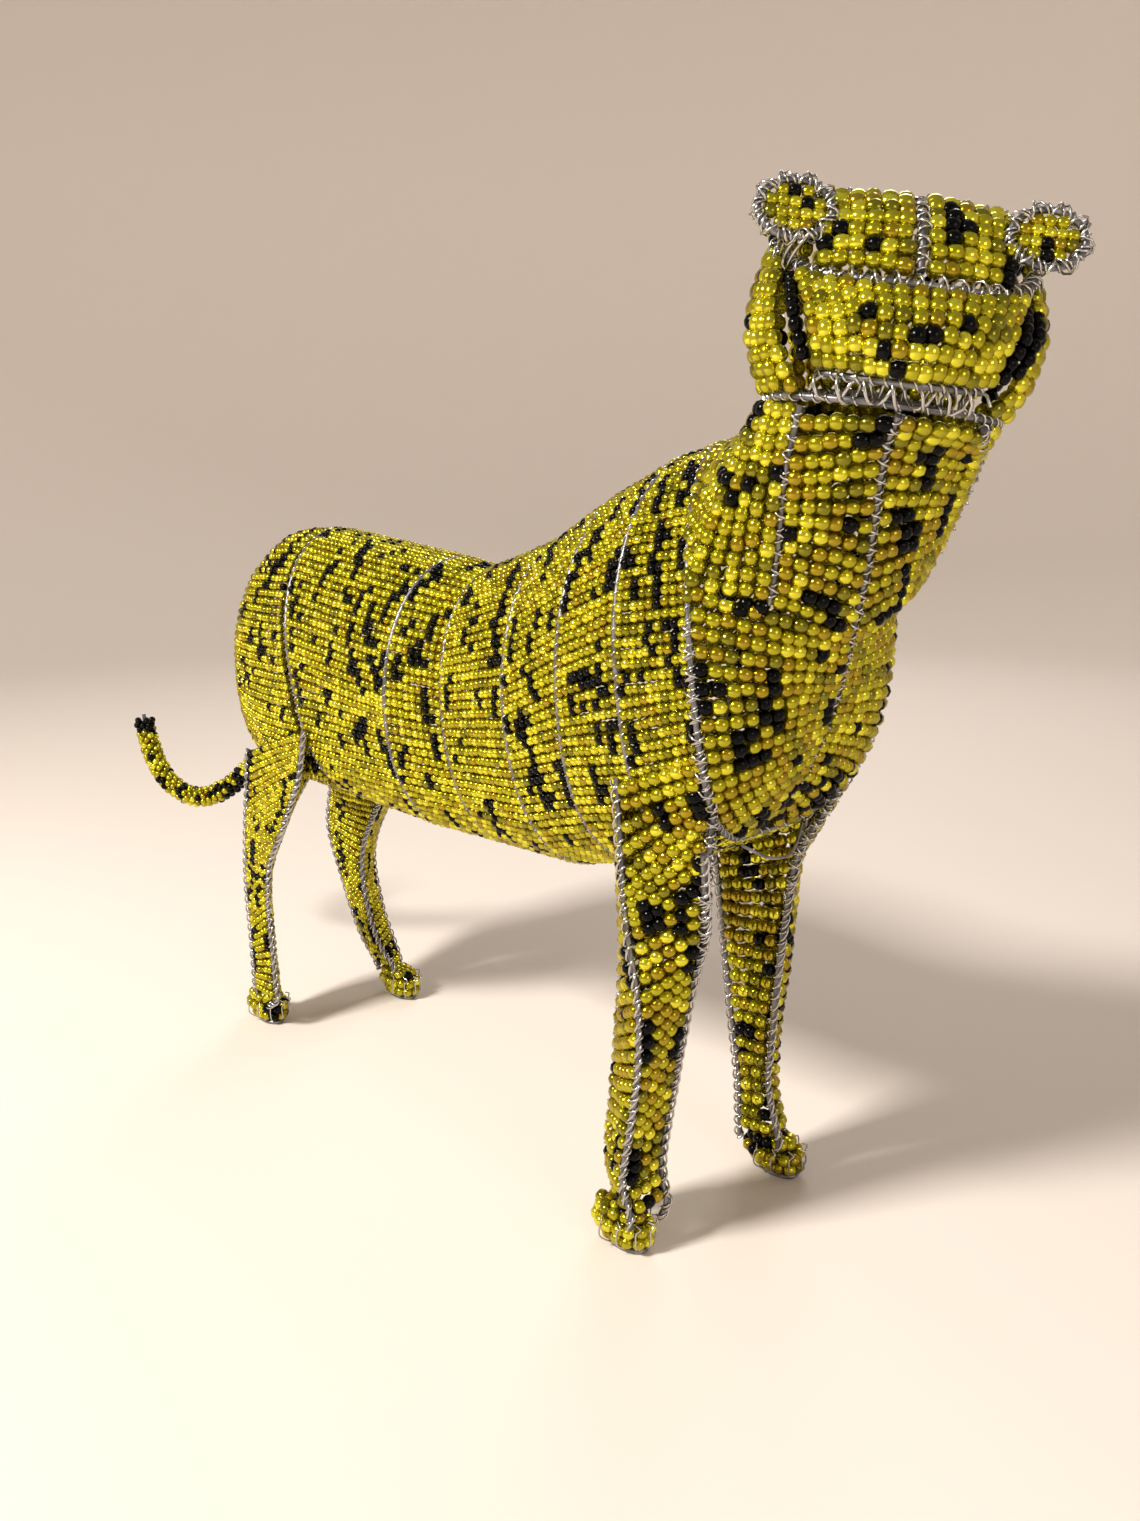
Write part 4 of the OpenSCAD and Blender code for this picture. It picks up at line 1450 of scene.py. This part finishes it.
    def build_sole(self, bender: WireBender, centre: np.ndarray, half: np.ndarray) -> None:
        """Bends the sole ring and the thin loops that stand up round the paw."""
        node = self.name + "_sole_ring"
        low, high = (np.array(v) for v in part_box(node))
        middle, reach = (low + high) / 2, (high - low) / 2 - WIRE_D / 2
        w = np.linspace(0, 2 * math.pi, 29)[:-1]
        x, y = middle[0] + reach[0] * np.cos(w), middle[1] + reach[1] * np.sin(w)
        ring = np.column_stack([x, y, np.full(len(w), middle[2])])
        FrameWire(node, [ring], closed=True, lacing=Lacing.NONE, finer=2).build(bender)
        loops = []
        for k in range(7):
            a = math.pi * (0.95 + 1.1 * k / 6)
            out = np.array([math.cos(a), math.sin(a), 0.0])
            side = np.array([-math.sin(a), math.cos(a), 0.0])
            foot = middle + out * reach
            belly = centre + out * (half - 0.4 * MM) * np.array([1, 1, 0])
            z = middle[2]
            turn = belly + out * 0.4 * MM + side * 1.2 * MM
            rise = ((belly, 3.0), (belly, 7.0), (turn, 8.6), (belly - out * MM, 9.6))
            points = [foot] + [np.array([*at[:2], z + up * MM]) for at, up in rise]
            loops.append(smooth_line(np.array(points), 5))
        bender.bend(node + "_loops", loops, 0.5 * MM, False, bender.thread_steel, 1)


LEG_BEADS = {
    "front_right": 4.0 * MM,
    "front_left": 4.0 * MM,
    "rear_right": 3.0 * MM,
    "rear_left": 3.0 * MM,
}
# Where on the shoulder hoop, in degrees from its top, the front legs' outer rows begin.
LEAD_ANGLES = (112, 120, 128, 134)


# ---- Tail ----


@dataclass
class Tail:
    """The core wire and the strands of beads that are wound round it like a rope."""

    bead: float = 3.0 * MM
    strands: int = 5
    lay: float = 19.0 * MM
    width: float = 9.5 * MM
    spots: float = 0.09
    black_ring: tuple[float, float] = (4.0 * MM, 6.4 * MM)

    def build(self, bender: WireBender, beader: Beader) -> None:
        """Makes the tail's pieces. Beads at black_ring from the tip are black."""
        line = READER.line("tail_core_wire", np.array([0.0, 1.0, 0.0]))
        FrameWire("tail_core_wire", [line], lacing=Lacing.NONE).build(bender)
        fine = even_line(smooth_line(line, 6), 1.0 * MM)
        a, b = side_frames(fine)
        reach = self.width / 2 - self.bead / 2
        far = run_lengths(fine)
        keep = (far > 1.6 * MM) & (far < far[-1] - 1.6 * MM)
        rows = []
        for k in range(self.strands):
            w = 2 * math.pi * (far / self.lay + k / self.strands)
            ring = a * np.cos(w)[:, None] + b * np.sin(w)[:, None]
            rows.append((fine + ring * reach)[keep])
        node = "tail_beadwork"
        wound = RowField(node=node, given=rows, bead=self.bead, spots=self.spots, closed=True)
        strung = wound.string(beader)
        near, edge = self.black_ring
        for i, middle in enumerate(strung.middles):
            if near < np.linalg.norm(middle - fine[-1]) < edge:
                strung.shades[i] = Shade.BLACK
        beader.piece("tail_beadwork_strands", strung, node)


# ---- Stage ----


@dataclass(frozen=True)
class SoftBox:
    """A soft light: where it stands from the middle of the figure, its size and power."""

    name: str
    place: tuple[float, float, float]
    size: float
    power: float
    colour: tuple[float, float, float] = (1.0, 1.0, 1.0)

    def add(self, aim: Vector) -> None:
        """Puts the light in the scene, turned to the aim."""
        data = bpy.data.lights.new(self.name, "AREA")
        data.energy, data.size, data.color = self.power, self.size, self.colour
        lamp = bpy.data.objects.new(self.name, data)
        bpy.context.scene.collection.objects.link(lamp)
        lamp.location = aim + Vector(self.place)
        lamp.rotation_mode = "QUATERNION"
        lamp.rotation_quaternion = (aim - lamp.location).to_track_quat("-Z", "Y")


@dataclass(frozen=True)
class Viewpoint:
    """The camera: where it stands from the middle of the figure's base, and how it looks."""

    place: tuple[float, float, float] = (-0.262, -0.3386, 0.215)
    ahead: tuple[float, float] = (0.681, 0.733)
    pitch: float = 12.7
    roll: float = 0.77
    lens: float = 29.75

    def add(self, base: Vector) -> None:
        """Puts the camera in the scene and makes it the scene's own."""
        flat = Vector((*self.ahead, 0)).normalized()
        p, r = math.radians(self.pitch), math.radians(self.roll)
        forward = flat * math.cos(p) - Vector((0, 0, 1)) * math.sin(p)
        right0 = Vector((flat.y, -flat.x, 0))
        up0 = right0.cross(forward)
        right = right0 * math.cos(r) - up0 * math.sin(r)
        up = right0 * math.sin(r) + up0 * math.cos(r)
        data = bpy.data.cameras.new("camera")
        data.lens, data.sensor_width = self.lens, 36.0
        data.clip_start = 0.01
        camera = bpy.data.objects.new("camera", data)
        bpy.context.scene.collection.objects.link(camera)
        turn = Matrix((right, up, -forward)).transposed().to_4x4()
        camera.matrix_world = Matrix.Translation(base + Vector(self.place)) @ turn
        bpy.context.scene.camera = camera


@dataclass
class Stage:
    """The round pale studio, its soft lights and the sky over it."""

    radius: float = 1.9
    height: float = 2.2
    cove: float = 0.7
    paint: tuple[float, float, float] = (0.78, 0.70, 0.63)
    sky: tuple[float, float, float] = (1.0, 0.98, 0.95)
    sky_strength: float = 0.3
    lights: tuple[SoftBox, ...] = (
        SoftBox("window", (-0.95, 0.15, 0.8), 0.24, 24.0, (1.0, 0.97, 0.92)),
        SoftBox("fill", (-0.25, -1.1, 0.3), 0.4, 1.6, (0.95, 0.97, 1.0)),
        SoftBox("back", (0.9, 0.5, 0.7), 0.5, 3.4),
    )

    def model_studio(self, base: Vector) -> bpy.types.Object:
        """Shapes the floor, which turns up into a round wall.

        Args:
            base: the middle of the floor.

        Returns:
            The studio, with its faces inward.
        """
        deselect_all()
        bpy.ops.mesh.primitive_circle_add(
            vertices=96, radius=self.radius, fill_type="NGON", location=base
        )
        studio = bpy.context.object
        studio.name = "studio_floor"
        bpy.ops.object.mode_set(mode="EDIT")
        bpy.ops.mesh.select_all(action="SELECT")
        bpy.ops.mesh.extrude_region_move(TRANSFORM_OT_translate={"value": (0, 0, self.height)})
        bpy.ops.mesh.delete(type="ONLY_FACE")
        bpy.ops.object.mode_set(mode="OBJECT")
        middle = base.z + self.height / 2
        for edge in studio.data.edges:
            ends = [studio.data.vertices[k].co.z + base.z for k in edge.vertices]
            edge.select = max(ends) < middle
        for face in studio.data.polygons:
            face.select = False
        bpy.ops.object.mode_set(mode="EDIT")
        bpy.ops.mesh.select_mode(type="EDGE")
        bpy.ops.mesh.bevel(offset=self.cove, segments=12, affect="EDGES")
        bpy.ops.mesh.select_all(action="SELECT")
        bpy.ops.mesh.normals_make_consistent(inside=True)
        bpy.ops.mesh.select_mode(type="VERT")
        bpy.ops.object.mode_set(mode="OBJECT")
        bpy.ops.object.shade_smooth()
        return studio

    def build(self, base: Vector, aim: Vector) -> None:
        """Sets the stage.

        Args:
            base: the middle of the figure's base.
            aim: the middle of the figure.
        """
        studio = self.model_studio(base)
        paper, shader = new_material("pale_floor")
        values = {
            "Base Color": (*self.paint, 1),
            "Roughness": 0.7,
            "Specular IOR Level": 0.25,
        }
        set_inputs(shader, values)
        studio.data.materials.append(paper)
        for light in self.lights:
            light.add(aim)
        world = bpy.data.worlds.new("room")
        world.use_nodes = True
        back = world.node_tree.nodes["Background"]
        set_inputs(back, {"Color": (*self.sky, 1), "Strength": self.sky_strength})
        bpy.context.scene.view_settings.view_transform = "Standard"
        bpy.context.scene.world = world


def main() -> None:
    """Builds the whole figure and its stage."""
    logging.basicConfig(level=logging.INFO, format="%(message)s")
    low, high = CAD_BOX
    base = Vector(((low.x + high.x) / 2, (low.y + high.y) / 2, low.z))
    Viewpoint().add(base)
    steel, thread = FRAME_STEEL.make(), THREAD_STEEL.make()
    shades = (LEMON_GLASS, PALE_GLASS, GOLD_GLASS, OLIVE_GLASS, BLACK_GLASS)
    slots = [finish.make() for finish in shades] + [thread]
    corners, faces = Bead().model()
    beader = Beader(np.random.default_rng(11), corners, faces, slots)
    bender = WireBender(steel, thread)
    torso, head = Torso(), Head()
    torso.read()
    head.read()
    neck = Neck(torso, head)
    neck.read()
    torso.build(bender, beader)
    head.build(bender, beader)
    neck.build(bender, beader)
    for name, bead in LEG_BEADS.items():
        side = -1 if name.endswith("right") else 1
        hoop = [torso.hoop_at("shoulder", side * angle) for angle in LEAD_ANGLES]
        leg = Leg(name, bead, lead=hoop if name.startswith("front") else [])
        leg.read()
        leg.build(bender, beader)
    Tail().build(bender, beader)
    Stage().build(base, (low + high) / 2)
    deselect_all()


if __name__ == "__main__":
    main()
